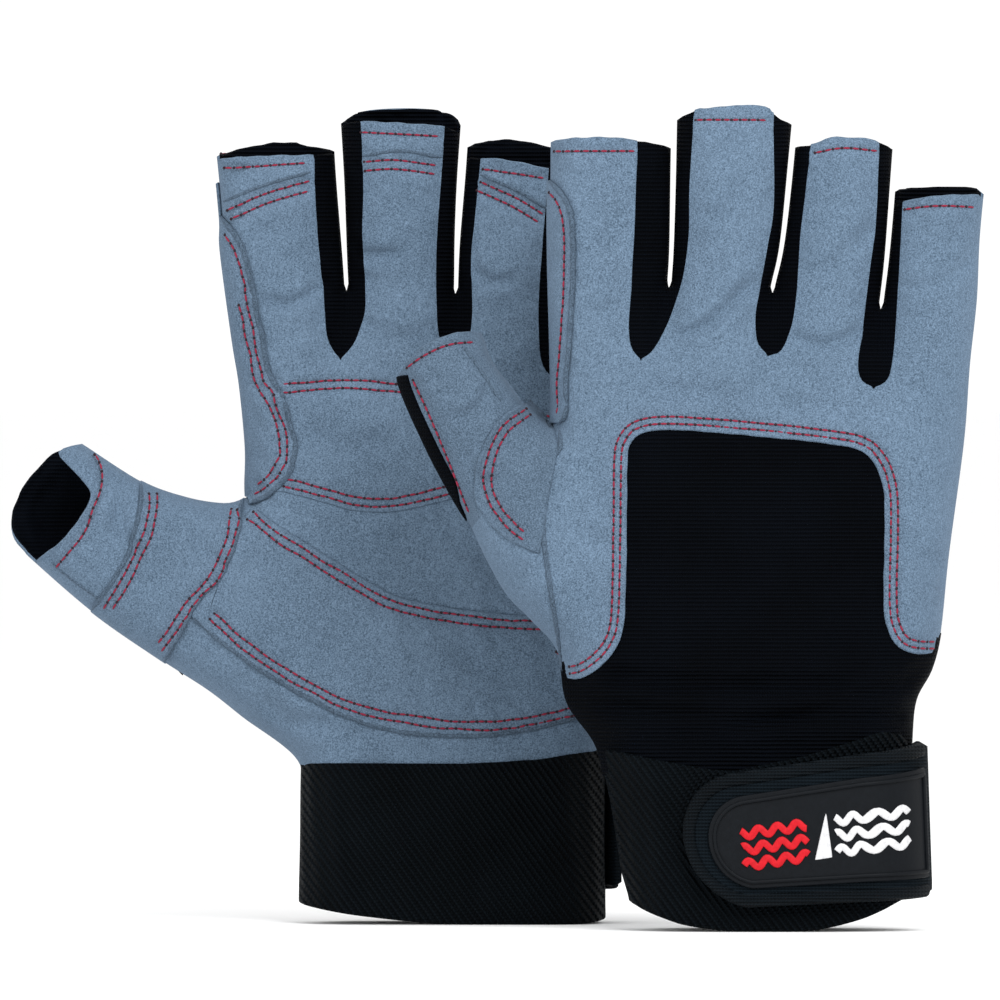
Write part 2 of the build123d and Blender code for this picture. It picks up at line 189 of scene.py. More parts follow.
SADDLE = [(-54.0, 167), (-50.2, 161.4), (-48.2, 156), (-46.6, 148), (-44.6, 138), (-42.8, 129.5),
          (-40.4, 125.4),
          (-38.2, 119), (-37, 113), (-37.4, 109), (-39.8, 104.4), (-44, 100.6), (-47.6, 99)]
SADDLE_BACK = [(-48.2, 175), (-45, 171.2), (-43.2, 165.4), (-43, 153.2), (-43.9, 135.8), (-44.5, 128.6),
               (-44.5, 121), (-46.0, 118.6)]
SIDE_FOLD = [(-46.4, 117.2), (-46.2, 112.5), (-48.6, 109), (-50.2, 96), (-49.2, 84.4), (-46.6, 68),
             (-45.7, 60.6)]
THUMB_PATCH = [(-53.6, 123.6), (-60.5, 118.6), (-64.6, 111), (-65.7, 103.4), (-64.1, 97.8), (-58.7, 92.2),
               (-51.2, 88.4)]
THUMB_FOLDS = {
    "left": ([(-73.6, 105.6), (-73.6, 98), (-75.8, 89), (-79.4, 82), (-85.2, 73.9)],
             [(-49.4, 100.6), (-50.4, 91), (-54, 82.6), (-59.8, 75.6), (-67.8, 62.2)]),
    "right": ([(-77.4, 112.5), (-73, 117.5), (-66.8, 123), (-58.7, 128.3)],
              [(-67.4, 95.4), (-64.2, 103), (-58, 111.4), (-50.6, 118.4)]),
}
WINDOW = [(-45.9, 58.9), (-41.3, 59.6), (-36.8, 62.6), (-33.5, 66.8), (-31.9, 72), (-31.4, 82), (-31.2, 95),
          (-31, 110), (-30.2, 114), (-27.4, 116.6), (-20, 117.4), (-3, 116.2), (15.3, 114.3), (24, 112.6),
          (27.6, 109), (29.3, 104.4), (29.9, 98), (29.6, 77), (30.6, 70.4), (33, 66.6), (37, 65.1),
          (43.5, 64.9)]
HEEL_EDGE = [(-61, 73), (-54, 66.5), (-40.4, 57.2), (-25.1, 49.3), (-12, 45.6), (2.9, 44.5), (16, 45.6),
             (25.9, 47.8),
             (39, 51.5)]
SEAM_C = [(-47.2, 96.4), (-42, 92.6), (-34, 87.6), (-21.3, 79.8), (-13.1, 75.6), (-0.4, 73), (17.7, 71.1),
          (40.5, 71.4)]
SEAM_B = [(-39, 105.2), (-29.8, 102.8), (-22.8, 100.8), (-15.2, 100.4), (-8.9, 101.4), (0, 103.6),
          (14, 106.6),
          (45, 110)]
SEAM_A = [(-40.4, 127.4), (-25.6, 128.3), (-11.7, 127.4), (6, 124.6), (23.8, 119.6), (46, 112.5)]
# Single or double rows of stitches: (curve, sideways steps of its rows), in millimetres to the left of
# the curve's direction.
ROWS = {
    "palm": [
        (SEAM_A, (0, -1.9)), (SEAM_B, (0, -1.9)), (SEAM_C, (0.4, -1.5)),
        ([(-56, 73.6), (-48, 66.6), (-40.4, 61.2), (-27, 53.8), (-14, 50), (2.9, 47.9), (16, 48.6),
          (38, 53.4)], (0, -1.9)),
        (SADDLE, (-1.5,)),
        ([(-46.6, 147), (-44.6, 138), (-42.8, 129.5), (-40.4, 125.4), (-38.2, 119), (-37, 113),
          (-37.4, 109),
          (-39.8, 104.4), (-44, 100.6)], (-3.3,)),
        ([(-52.6, 168.6), (-44.6, 172.3), (-33.4, 175.6)], (0, -2.3)),
        ([(-55.4, 178.6), (-46.5, 178.9), (-33.4, 179.8)], (0,)),
        ([(-21.4, 187), (-2, 186)], (0,)), ([(-20.6, 180), (-13.1, 180.4), (-2.5, 179)], (0, -2.1)),
        ([(7.4, 178.3), (23, 176)], (0,)), ([(6.9, 175.3), (15, 171.6), (22.6, 167)], (0, -2.2)),
        ([(31.4, 165.8), (48.8, 166)], (0,)), ([(30.8, 160), (40, 161), (48.6, 160)], (0, -2.1)),
    ],
    "back": [
        (WINDOW, (1.0, 2.6)),
        ([(-47.6, 182), (-28.6, 182)], (0,)), ([(-14.6, 189.3), (3, 189.2)], (0,)),
        ([(13.2, 181.6), (20, 182.7), (28, 182)], (0,)),
        ([(34.2, 168.4), (42, 169.2), (52.6, 168.8)], (0,)),
        (SADDLE_BACK, (-1.6,)),
    ],
}
THUMB_ROWS = {
    ("left", "palm"): [
        ([(-71.8, 103.2), (-71.7, 97), (-73.4, 90.5), (-76.6, 84), (-82, 74.6)], (0, 1.9)),
        ([(-51, 97), (-51.9, 91), (-55.4, 83), (-61, 76), (-68.8, 65.4)], (-1.1, 0.7)),
        ([(-86, 112), (-83.2, 107.6), (-83, 103), (-84.6, 98), (-87, 92), (-93.6, 84)], (0,)),
    ],
    ("right", "back"): [
        ([(-80.6, 128.6), (-77, 121), (-72.8, 111), (-69.4, 102.5), (-67, 96.5)], (0,)),
        ([(-82, 131.4), (-77.8, 134.4), (-72.3, 136.8), (-66.4, 137.4)], (0,)),
        ([(-54.6, 121.4), (-60, 117.4), (-63.2, 110.2), (-63.8, 103.6), (-61.4, 98), (-57.6, 93.4),
          (-54.4, 90.9)],
         (0, 1.7)),
    ],
    ("left", "back"): [([(-86.4, 111.6), (-93, 108.8), (-98.4, 103), (-101, 96), (-99.6, 90)], (0,))],
    ("right", "palm"): [([(-81, 128), (-77, 131), (-72, 133.4), (-66, 136)], (0,)),
                        ([(-56, 121.6), (-60, 112), (-63, 106), (-67.5, 98)], (0, 1.9))],
}
# Creases: (start, end, depth, half width), millimetres, in the frame their face is drawn in.
CREASES = {
    "palm": [((-24.6, 161), (-14, 157), 0.9, 1.6), ((-29.4, 153.6), (-21, 151.6), 0.7, 1.5),
             ((-42, 147), (-32, 148.4), 0.7, 1.5), ((6, 154), (14, 151), 0.8, 1.7),
             ((-20, 141), (-8, 138), 0.6, 2.4),
             ((-33, 116), (-14, 112), 0.7, 3.2), ((-4, 112), (18, 108), 0.6, 3.0),
             ((-60, 92), (-54, 84), 0.7, 2.2),
             ((-78, 99), (-76, 88), 0.8, 2.0), ((-30, 94), (-16, 86), 0.6, 3.2),
             ((0, 92), (24, 84), 0.7, 4),
             ((-36, 70), (-16, 60), 0.5, 3.4), ((-44, 52), (-30, 46), 0.8, 2.4),
             ((4, 62), (26, 58), 0.5, 3)],
    "back": [((-18, 139), (-2, 149.4), 1.1, 1.7), ((-12.8, 166.8), (-4, 171), 0.7, 2.0),
             ((-38, 144.4), (-32, 148.4), 0.6, 1.7), ((10.8, 137.4), (24, 139), 0.9, 1.8),
             ((12.2, 153.4), (26, 162), 0.7, 2.2), ((35, 150), (49, 154), 0.6, 1.8),
             ((-26, 128), (-8, 124), 0.7, 3.0),
             ((4, 124), (22, 121), 0.6, 2.8), ((-43, 96), (-34, 88), 0.6, 2.6),
             ((33, 92), (44, 84), 0.7, 2.6),
             ((-38, 53), (34, 49), 1.0, 2.0), ((-34, 60), (20, 56.6), 0.8, 2.2),
             ((-20, 46), (36, 57), 0.7, 1.8),
             ((-70, 120), (-62, 126), 0.6, 1.6), ((-68, 108), (-60, 104), 0.5, 2)],
}


class GloveSizes(bpy.types.PropertyGroup):
    """Sizes that all the pieces share, in metres."""

    skin: bpy.props.FloatProperty(name="Skin", description="Suede with its lining", default=0.0013,
                                  unit="LENGTH")
    patch: bpy.props.FloatProperty(name="Patch", description="A sewn-on layer", default=0.0009,
                                   unit="LENGTH")
    step: bpy.props.FloatProperty(name="Mesh step", description="Distance between mesh points",
                                  default=0.0013,
                                  unit="LENGTH")
    pitch: bpy.props.FloatProperty(name="Stitch pitch", description="One stitch and its gap",
                                   default=0.0021,
                                   unit="LENGTH")
    thread: bpy.props.FloatProperty(name="Thread", description="Radius of the sewing thread",
                                    default=0.00027,
                                    unit="LENGTH")
    roll: bpy.props.FloatProperty(name="Roll", description="How far in from an edge the surface rolls over",
                                  default=0.012, unit="LENGTH")
    strap_gap: bpy.props.FloatProperty(name="Strap gap", description="Cuff to strap", default=0.0014,
                                       unit="LENGTH")
    strap: bpy.props.FloatProperty(name="Strap", description="Thickness of the strap", default=0.0024,
                                   unit="LENGTH")
    badge: bpy.props.FloatProperty(name="Badge", description="Thickness of the badge", default=0.0012,
                                   unit="LENGTH")


class GloveColours(bpy.types.PropertyGroup):
    """Colours of the materials, scene linear."""

    suede: bpy.props.FloatVectorProperty(name="Suede", description="Brushed nap", subtype="COLOR",
                                         default=(0.128, 0.187, 0.262))
    suede_low: bpy.props.FloatVectorProperty(name="Suede low", description="Nap brushed the other way",
                                             subtype="COLOR", default=(0.038, 0.061, 0.090))
    knit: bpy.props.FloatVectorProperty(name="Knit", description="Stretch knit", subtype="COLOR",
                                        default=(0.0011, 0.0018, 0.0034))
    elastic: bpy.props.FloatVectorProperty(name="Elastic", description="Cuff", subtype="COLOR",
                                           default=(0.0020, 0.0033, 0.0046))
    thread: bpy.props.FloatVectorProperty(name="Thread", description="Sewing thread", subtype="COLOR",
                                          default=(0.18, 0.014, 0.034))
    rubber: bpy.props.FloatVectorProperty(name="Rubber", description="Badge", subtype="COLOR",
                                          default=(0.004, 0.005, 0.0065))


# ---- plan geometry -------------------------------------------------------------------------------

def smooth(points, step=1.0):
    """A Catmull-Rom curve through the points, as points about step apart."""
    p = np.array(points, float)
    if len(p) == 2:
        n = max(2, int(np.hypot(*(p[1] - p[0])) / step) + 1)
        return p[0] + (p[1] - p[0]) * np.linspace(0, 1, n)[:, None]
    p = np.vstack([2 * p[0] - p[1], p, 2 * p[-1] - p[-2]])
    out = []
    for a, b, c, d in zip(p, p[1:], p[2:], p[3:]):
        n = max(1, int(round(np.hypot(*(c - b)) / step)))
        t = (np.arange(n) / n)[:, None]
        out.append(b + 0.5 * t * ((c - a) + t * (2 * a - 5 * b + 4 * c - d + t * (3 * (b - c) + d - a))))
    return np.vstack(out + [p[-2:-1]])


def resample(curve, step):
    """The curve with points an even step apart."""
    run = np.concatenate([[0], np.cumsum(np.hypot(*np.diff(curve, axis=0).T))])
    at = np.linspace(0, run[-1], max(2, int(round(run[-1] / step)) + 1))
    return np.stack([np.interp(at, run, curve[:, k]) for k in range(curve.shape[1])], 1)


def part(curve, test):
    """The stretch of a curve where test is above 0, cut at the crossings."""
    value = test(curve)
    out = []
    for i in range(len(curve)):
        if i and (value[i] > 0) != (value[i - 1] > 0):
            t = value[i - 1] / (value[i - 1] - value[i])
            out.append(curve[i - 1] + (curve[i] - curve[i - 1]) * t)
        if value[i] > 0:
            out.append(curve[i])
    return np.array(out).reshape(-1, 2)


def shift(curve, distance):
    """The curve moved sideways, to the left of its direction."""
    t = np.gradient(curve, axis=0)
    t /= np.maximum(np.hypot(*t.T), 1e-9)[:, None]
    return curve + np.stack([-t[:, 1], t[:, 0]], 1) * distance


def near(points, curve):
    """Distance from each point to a polyline, which side it is on (+ to the right) and the way to it."""
    a, b = curve[:-1], curve[1:]
    d = b - a
    length = np.maximum((d * d).sum(1), 1e-12)
    best, side, gaps = np.zeros(len(points)), np.zeros(len(points)), np.zeros((len(points), 2))
    for start in range(0, len(points), CHUNK):
        p = points[start:start + CHUNK]
        rel = p[:, None] - a[None]
        t = np.clip((rel * d[None]).sum(2) / length, 0, 1)
        gap = rel - t[..., None] * d[None]
        dist = (gap * gap).sum(2)
        k = dist.argmin(1)
        rows = np.arange(len(p))
        g = gap[rows, k]
        best[start:start + CHUNK] = np.sqrt(dist[rows, k])
        side[start:start + CHUNK] = d[k, 1] * g[:, 0] - d[k, 0] * g[:, 1]
        gaps[start:start + CHUNK] = g
    return best, side, gaps


def closest(curve, point):
    """Which point of a curve is nearest to a place."""
    return int(np.hypot(*(curve - point).T).argmin())


def inside(points, poly):
    """Which points are inside a closed outline."""
    x, z = points[:, 0], points[:, 1]
    hit = np.zeros(len(points), bool)
    for (x0, z0), (x1, z1) in zip(poly, np.roll(poly, -1, 0)):
        if z0 != z1:
            hit ^= ((z0 > z) != (z1 > z)) & (x < (x1 - x0) * (z - z0) / (z1 - z0) + x0)
    return hit


def ease(t):
    """0 before 0, 1 after 1, and a soft step between them."""
    t = np.clip(t, 0, 1)
    return t * t * (3 - 2 * t)


class Field:
    """Values on a square grid of plan points, read back along smooth curves."""

    def __init__(self, low, high, step, values):
        self.low, self.step = np.array(low, float), step
        x, z = (np.arange(a, b, step) for a, b in zip(low, high))
        gx, gz = np.meshgrid(x, z)
        self.grid = values(np.stack([gx.ravel(), gz.ravel()], 1)).reshape(gx.shape)

    def __call__(self, p):
        rows, columns = self.grid.shape
        f = np.clip((p - self.low) / self.step, 1, [columns - 2.001, rows - 2.001])
        k = f.astype(int)
        t = f - k
        w = [t * (-0.5 + t * (1 - 0.5 * t)), 1 + t * t * (1.5 * t - 2.5), t * (0.5 + t * (2 - 1.5 * t)),
             t * t * 0.5 * (t - 1)]
        return sum(w[i][:, 1] * sum(w[j][:, 0] * self.grid[k[:, 1] + i - 1, k[:, 0] + j - 1]
                                    for j in range(4))
                   for i in range(4))


def carry(points, source, target):
    """Moves plan points from one glove's fingers and hand to the other's."""
    p = np.array(points, float)
    if source is target:
        return p
    rows = sorted(source["grid"])
    edges = [[np.interp(p[:, 1], rows, [g["grid"][r][k] for r in rows]) for k in range(5)]
             for g in (source, target)]
    x = np.array([np.interp(v, [e[i] for e in edges[0]], [e[i] for e in edges[1]])
                  + min(0, v - edges[0][0][i]) + max(0, v - edges[0][4][i]) for i, v in enumerate(p[:, 0])])
    return np.stack([x, p[:, 1]], 1)


class Glove:
    """One glove's plan and the surface over it."""

    def __init__(self, side, sizes):
        self.side, self.data, self.sizes = side, GLOVES[side], sizes
        d = self.data
        self.curves = {k: smooth(d[k]) for k in ("low", "thumb_top", "index_out", "outer")}
        self.slits = [smooth(s) for s in d["slits"]]
        self.tips = {}
        for face in FACES:
            for k in range(3):
                self.tips[face, k] = self.vee(face, k, 0)[-1]
        # Every side edge, clockwise, and below each slit a valley that fades into the hand.
        lines = [self.curves["low"], self.curves["thumb_top"], self.curves["index_out"]]
        for k in range(3):
            lines += [self.slit_side(k, -1)[::-1], self.slit_side(k, 1)]
        lines.append(self.curves["outer"])
        self.edge = np.vstack(lines)
        even = resample(self.edge, 0.6)
        soft = [np.column_stack([even, np.zeros(len(even))])]
        for k, s in enumerate(self.slits):
            low = np.array([self.tips["palm", k][0] * 0.5 + self.tips["back", k][0] * 0.5, 112.0])
            z = np.arange(s[0, 1], low[1], -0.6)
            t = (s[0, 1] - z) / (s[0, 1] - low[1])
            soft.append(np.column_stack([s[0, 0] + (low[0] - s[0, 0]) * t, z, 1.0 + 15 * t ** 1.3]))
        soft = np.vstack(soft)
        self.rows = {face: [(self.place(face, smooth(c)), o) for c, o in ROWS[face]]
                     + [(smooth(c), o) for c, o in THUMB_ROWS.get((side, face), [])] for face in FACES}
        self.creases = {face: [(self.place(face, [a, b]), h, w) for a, b, h, w in CREASES[face]]
                        for face in FACES}
        low, high = (-112, 26), (60, 204)
        self.rough = Field(low, high, 1.0, lambda p: near(p, self.edge)[0]
                           * np.where(inside(p, self.edge), 1, -1))
        self.soft = Field(low, high, 1.0, lambda p: self.soft_depth(p, soft))
        self.bumps = {face: Field(low, high, 0.4, lambda p: self.relief(p, face)) for face in FACES}

    def slit_side(self, k, side):
        """One side of a slit, upwards."""
        s = self.slits[k]
        half = 0.12 + self.data["gap"] * ease((s[:, 1] - s[0, 1]) / 30)
        return np.stack([s[:, 0] + side * half, s[:, 1]], 1)

    def place(self, face, points):
        """Plan points drawn for a face's home glove, moved to this one."""
        home = GLOVES["left" if face == "palm" else "right"]
        return carry(points, home, self.data)

    def vee(self, face, web, branch):
        """One branch of the edge between suede and gusset."""
        return self.place(face, smooth(VEES[face][web][branch]))

    def soft_depth(self, p, soft):
        """Distance from the side edges, rounded off along the middle."""
        total = np.zeros(len(p))
        for start in range(0, len(p), CHUNK):
            q = p[start:start + CHUNK]
            r2 = (q[:, None, 0] - soft[None, :, 0]) ** 2 + (q[:, None, 1] - soft[None, :, 1]) ** 2
            r2 += soft[None, :, 2] ** 2 + 1e-4
            total[start:start + CHUNK] = (1 / (r2 * r2 * r2)).sum(1)
        return (total * 0.6 / (3 * math.pi / 8)) ** -0.2

    def margin(self, p):
        """Distance to the nearest side edge, below 0 outside, and the direction in from that edge."""
        dist, way = self.rough(p), np.zeros((len(p), 2))
        close = dist < 6
        if close.any():
            exact, _, gap = near(p[close], self.edge)
            sign = np.where(inside(p[close], self.edge), 1.0, -1.0)
            dist[close] = exact * sign
            way[close] = gap / np.maximum(exact, 1e-9)[:, None] * sign[:, None]
        return dist, way

    def within(self, curve, least):
        """The stretch of a curve at least so far in from the side edges."""
        return part(curve, lambda p: self.margin(p)[0] - least)

    def by_thumb(self, p, reach=3):
        """Whether a plan point is on the cut between hand and thumb."""
        return abs(self.thumb_side(p[None])[0]) < reach

    def depth(self, p, exact):
        """How far in a point counts for the roundness: exact at the edge, soft further in."""
        w = ease(exact / 4.0)
        return (1 - w) * np.maximum(exact, 0) + w * self.soft(p)

    def relief(self, p, face):
        """Small rises and dips of the cloth: slow ripples, creases and the pull of the seams."""
        x, z = p[:, 0], p[:, 1]
        turn = 0.0 if face == "palm" else 1.9
        h = 0.42 * np.sin(x * 0.21 + 1.3 * np.sin(z * 0.11 + turn)) * np.sin(z * 0.17 + turn + 0.8
                                                                             * np.sin(x * 0.13))
        h += 0.24 * np.sin(x * 0.47 - z * 0.33 + turn) * np.sin(z * 0.41 + x * 0.12)
        h += 0.09 * np.sin(x * 1.05 + z * 0.7 + turn) * np.sin(z * 1.15 - x * 0.42)
        for (a, b), height, width in self.creases[face]:
            d = b - a
            length = np.hypot(*d)
            d = d / length
            along = (p - a) @ d
            across = (p - a) @ np.array([-d[1], d[0]])
            across = across + 1.2 * np.sin(along / length * 4.2)
            fade = ease((along + 4) / 6) * ease((length + 4 - along) / 6)
            h += 1.5 * height * fade * (0.5 * np.exp(-((across - 1.7 * width) / (1.3 * width)) ** 2)
                                  - np.exp(-(across / width) ** 2)
                                  + 0.4 * np.exp(-((across + 1.8 * width) / (1.4 * width)) ** 2))
        for curve, offsets in self.rows[face]:
            here = ((p > curve.min(0) - 8) & (p < curve.max(0) + 8)).all(1)
            mid = sum(offsets) / len(offsets)
            dist, side, _ = near(p[here], curve)
            d = np.where(side > 0, -dist, dist) - mid
            spread = (max(offsets) - min(offsets)) / 2
            dip = np.exp(-((np.abs(d) - spread) / 0.8) ** 2) * 0.3
            puff = np.exp(-((np.abs(d) - spread - 2.6) / 1.9) ** 2) * 0.34
            ridge = np.exp(-(d / 0.6) ** 2) * 0.16 if len(offsets) > 1 else 0
            pucker = 1 + 0.5 * np.sin(1.4 * (p[here] @ np.array([0.8, 0.6])))
            h[here] += puff * pucker - dip + ridge
        return h

    def half(self, p):
        """Half the glove's thickness at each plan point, before the relief, and its middle surface."""
        z = p[:, 1]
        full = np.interp(z, [28, 39, 50, 62, 88, 110, 124, 138, 170, 195],
                         [16.4, 16.9, 16.6, 16, 14.2, 12.2, 10.9, 9.9, 9.6, 9.6])
        f, aim = np.array(self.data["fold"]), np.array(self.data["aim"])
        along = (p - f) @ aim
        beside = ease((self.data["grid"][98][0] + 6 - p[:, 0]) / 14)
        t = ease((along + 24) / 24) * beside
        return full + (self.data["thumb_thick"] - full) * t, -4.0 * t

    def height(self, p, face, exact):
        """Where the surface is across the glove, in millimetres."""
        depth = self.depth(p, exact)
        full, middle = self.half(p)
        t = 1 - np.minimum(depth / (self.sizes.roll / MM), 1)
        h = full * np.sqrt(np.maximum(1 - t * t, 0)) + self.bumps[face](p) * ease(depth / 4)
        return middle + (-1 if face == "palm" else 1) * h

    def surface(self, p, face, offset=0.0):
        """Places and normals of plan points on one face, in the glove's own frame."""
        e = 0.12
        exact, into = self.margin(p)

        def at(dx, dz):
            return self.height(p + [dx, dz], face, np.maximum(exact + dx * into[:, 0] + dz * into[:, 1], 0))
        y = at(0, 0)
        way = -1.0 if face == "palm" else 1.0
        n = np.stack([-(at(e, 0) - at(-e, 0)) / (2 * e) * way, np.full(len(p), way),
                      -(at(0, e) - at(0, -e)) / (2 * e) * way], 1)
        n /= np.linalg.norm(n, axis=1)[:, None]
        w = (1 - ease((exact - 0.15) / 0.35))[:, None]
        n = n * (1 - w) - np.stack([into[:, 0], np.zeros(len(p)), into[:, 1]], 1) * w
        n /= np.linalg.norm(n, axis=1)[:, None]
        offset = np.asarray(offset, float)
        return np.stack([p[:, 0], y, p[:, 1]], 1) + n * (offset[:, None] if offset.ndim else offset), n

    def world(self, co):
        """From the glove's own frame, in millimetres, to the row frame, in metres."""
        d = self.data
        return np.stack([co[:, 0] + d["x"], co[:, 1] * d["facing"] + d["y"], co[:, 2]], 1) * MM

    def turned(self, n):
        """Normals from the glove's own frame to the row frame."""
        return n * np.array([1, self.data["facing"], 1])

    # -- outlines of the pieces --
    def thumb_side(self, p):
        """Above 0 on the thumb's side of the line from the thumb's root to its crotch."""
        (kx, kz), (rx, rz) = self.data["crotch"], self.data["root"]
        return (kx - rx) * (p[:, 1] - rz) - (kz - rz) * (p[:, 0] - rx)

    def cut_line(self):
        """From the crotch of the thumb to the low side edge, where the thumb's pieces start."""
        low = part(self.curves["low"], lambda p: -self.thumb_side(p))
        return np.array([self.curves["thumb_top"][-1], low[-1]])

    def hand_outline(self, face):
        low = part(self.curves["low"], lambda p: np.minimum(-self.thumb_side(p), p[:, 1] - 36))
        up = part(self.curves["index_out"], lambda p: CUT - p[:, 1])
        down = part(self.curves["outer"], lambda p: np.minimum(CUT - p[:, 1], p[:, 1] - 36))
        tops = [up[-1]] + [np.array([self.tips[face, k][0], CUT]) for k in range(3)] + [down[0]]
        return [low, self.cut_line()[::-1], up] + [np.array(pair) for pair in zip(tops, tops[1:])] + [down]

    def thumb_outline(self, face):
        mouth = smooth(self.data[f"{face}_mouth"])
        low = part(self.curves["low"], self.thumb_side)
        low = low[:closest(low, mouth[0])]
        top = self.curves["thumb_top"]
        top = top[closest(top, mouth[-1]) + 1:]
        return [low, mouth, top, self.cut_line()]

    def column(self, left, right, hem, floor):
        """The outline between two upward curves, from floor to the hem."""
        def below(p):
            return np.minimum(np.interp(p[:, 0], *np.array(hem, float).T) - p[:, 1], p[:, 1] - floor)
        a, b = part(left, below), part(right, below)
        line = smooth(hem)
        line = line[(line[:, 0] > a[-1, 0] + 0.3) & (line[:, 0] < b[-1, 0] - 0.3)]
        return [a, line, b[::-1], np.array([b[0], a[0]])]

    def finger_curves(self, face, finger):
        """The suede's left and right edges, from the cut upwards."""
        k = FINGERS.index(finger)

        def stem(tip):
            return resample(np.array([[tip[0], CUT - 1], [tip[0], CUT], tip]), 0.5)[1:]
        left = self.curves["index_out"] if k == 0 else np.vstack([stem(self.tips[face, k - 1])[:-1],
                                                                  self.vee(face, k - 1, 1)])
        right = self.curves["outer"][::-1] if k == 3 else np.vstack([stem(self.tips[face, k])[:-1],
                                                                     self.vee(face, k, 0)[::-1]])
        return left, right

    def layered(self, p):
        """The height of the upper palm's layer where it goes on under the fingers."""
        top = self.place("palm", shift(smooth(SEAM_A), 1.0))
        dist, side, _ = near(p, top)
        return 0.45 * ease(np.where(side > 0, dist, 0) / 0.8)

    def band_lift(self, p):
        """The height of the band round the thumb: highest at its fold, flat at the side edges."""
        rise = 0.5 + 0.6 * (1 - ease(near(p, smooth(THUMB_FOLDS[self.side][1]))[0] / 8))
        return 0.25 + rise * ease(self.margin(p)[0] / 3)

    def slit_line(self, face, web, side):
        """One side of a slit, upwards from the point of the gusset."""
        line = self.slit_side(web, side)
        return np.vstack([resample(np.array([self.tips[face, web], line[0]]), 1.0)[:-1], line])

    def owner(self, p):
        """The body a plan point belongs to."""
        # Above the cut the index finger leans out over the thumb's side, so there only the thumb's tip counts.
        below_tip = p[1] < CUT or (p[0] < THUMB_TIP[0] and p[1] < THUMB_TIP[1])
        if self.thumb_side(p[None])[0] > 0 and p[0] < self.data["crotch"][0] and below_tip:
            return "thumb"
        if p[1] < CUT:
            return "hand"
        rows = sorted(self.data["grid"])
        cuts = [np.interp(p[1], rows, [self.data["grid"][r][k] for r in rows]) for k in (1, 2, 3)]
        return FINGERS[sum(p[0] > c for c in cuts)]

    def attach(self, obj, body, slot, *nodes):
        """Joins a hand or strap piece to its body; a finger's or thumb's piece is baked where it stands."""
        d = self.data
        if body == "thumb":
            f, aim = np.array(d["fold"]), np.array(d["aim"])
            ends = [f + aim * t for t in d["blend"]]
        elif body in FINGERS:
            ends = [(0, 124.5), (0, 143 if body == "little" else 151)]
        if body in ("hand", "strap"):
            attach(obj, f"{self.side}_{body}")
        else:
            a, b = [self.world(np.array([[e[0], 0.0, e[1]]]))[0] for e in ends]
            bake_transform(obj)
        if nodes:
            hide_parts(*[f"{self.side}_{n}" for n in nodes])
        return obj


def fill(loop, step):
    """Triangulates an outline with evenly spread inner points. Returns plan points and triangles."""
    low, high = loop.min(0), loop.max(0)
    grid = []
    for i, z in enumerate(np.arange(low[1] + step * 0.4, high[1], step * 0.87)):
        x = np.arange(low[0] + (i % 2) * step / 2, high[0], step)
        grid.append(np.stack([x, np.full(len(x), z)], 1))
    grid = np.vstack(grid)
    grid = grid[inside(grid, loop)]
    grid = grid[near(grid, np.vstack([loop, loop[:1]]))[0] > step * 0.6]
    points = [Vector(p) for p in np.vstack([loop, grid])]
    n = len(loop)
    vs, _, faces, _, _, _ = geometry.delaunay_2d_cdt(points, [(i, (i + 1) % n) for i in range(n)],
                                                     [list(range(n))], 1, 1e-6)
    return np.array([(v.x, v.y) for v in vs]), faces


def loop_of(outline, step):
    """One closed loop from an outline's stretches, each spaced evenly between its own ends."""
    poly = np.vstack([resample(np.asarray(line, float), step) for line in outline if len(line) > 1])
    poly = poly[np.hypot(*(poly - np.roll(poly, 1, 0)).T) > 0.06]
    out = []
    for a, b in zip(poly, np.roll(poly, -1, 0)):
        n = max(1, int(round(np.hypot(*(b - a)) / step)))
        out.append(a + (b - a) * (np.arange(n) / n)[:, None])
    return np.vstack(out)


def make(name, co, faces, normals=None, materials=(), slots=None, uv=None):
    """A mesh object at the origin with smooth shading and its own normals."""
    mesh = bpy.data.meshes.new(name)
    mesh.from_pydata([tuple(c) for c in co], [], [tuple(f) for f in faces])
    mesh.polygons.foreach_set("use_smooth", [True] * len(mesh.polygons))
    if slots is not None:
        mesh.polygons.foreach_set("material_index", slots)
    if uv is not None:
        layer = mesh.uv_layers.new(name="Plan")
        index = np.zeros(len(mesh.loops), int)
        mesh.loops.foreach_get("vertex_index", index)
        layer.data.foreach_set("uv", np.asarray(uv, float)[index].ravel())
    for m in materials:
        mesh.materials.append(m)
    mesh.validate()
    if normals is not None:
        mesh.normals_split_custom_set_from_vertices([tuple(n) for n in normals])
    obj = bpy.data.objects.new(name, mesh)
    bpy.context.scene.collection.objects.link(obj)
    return obj


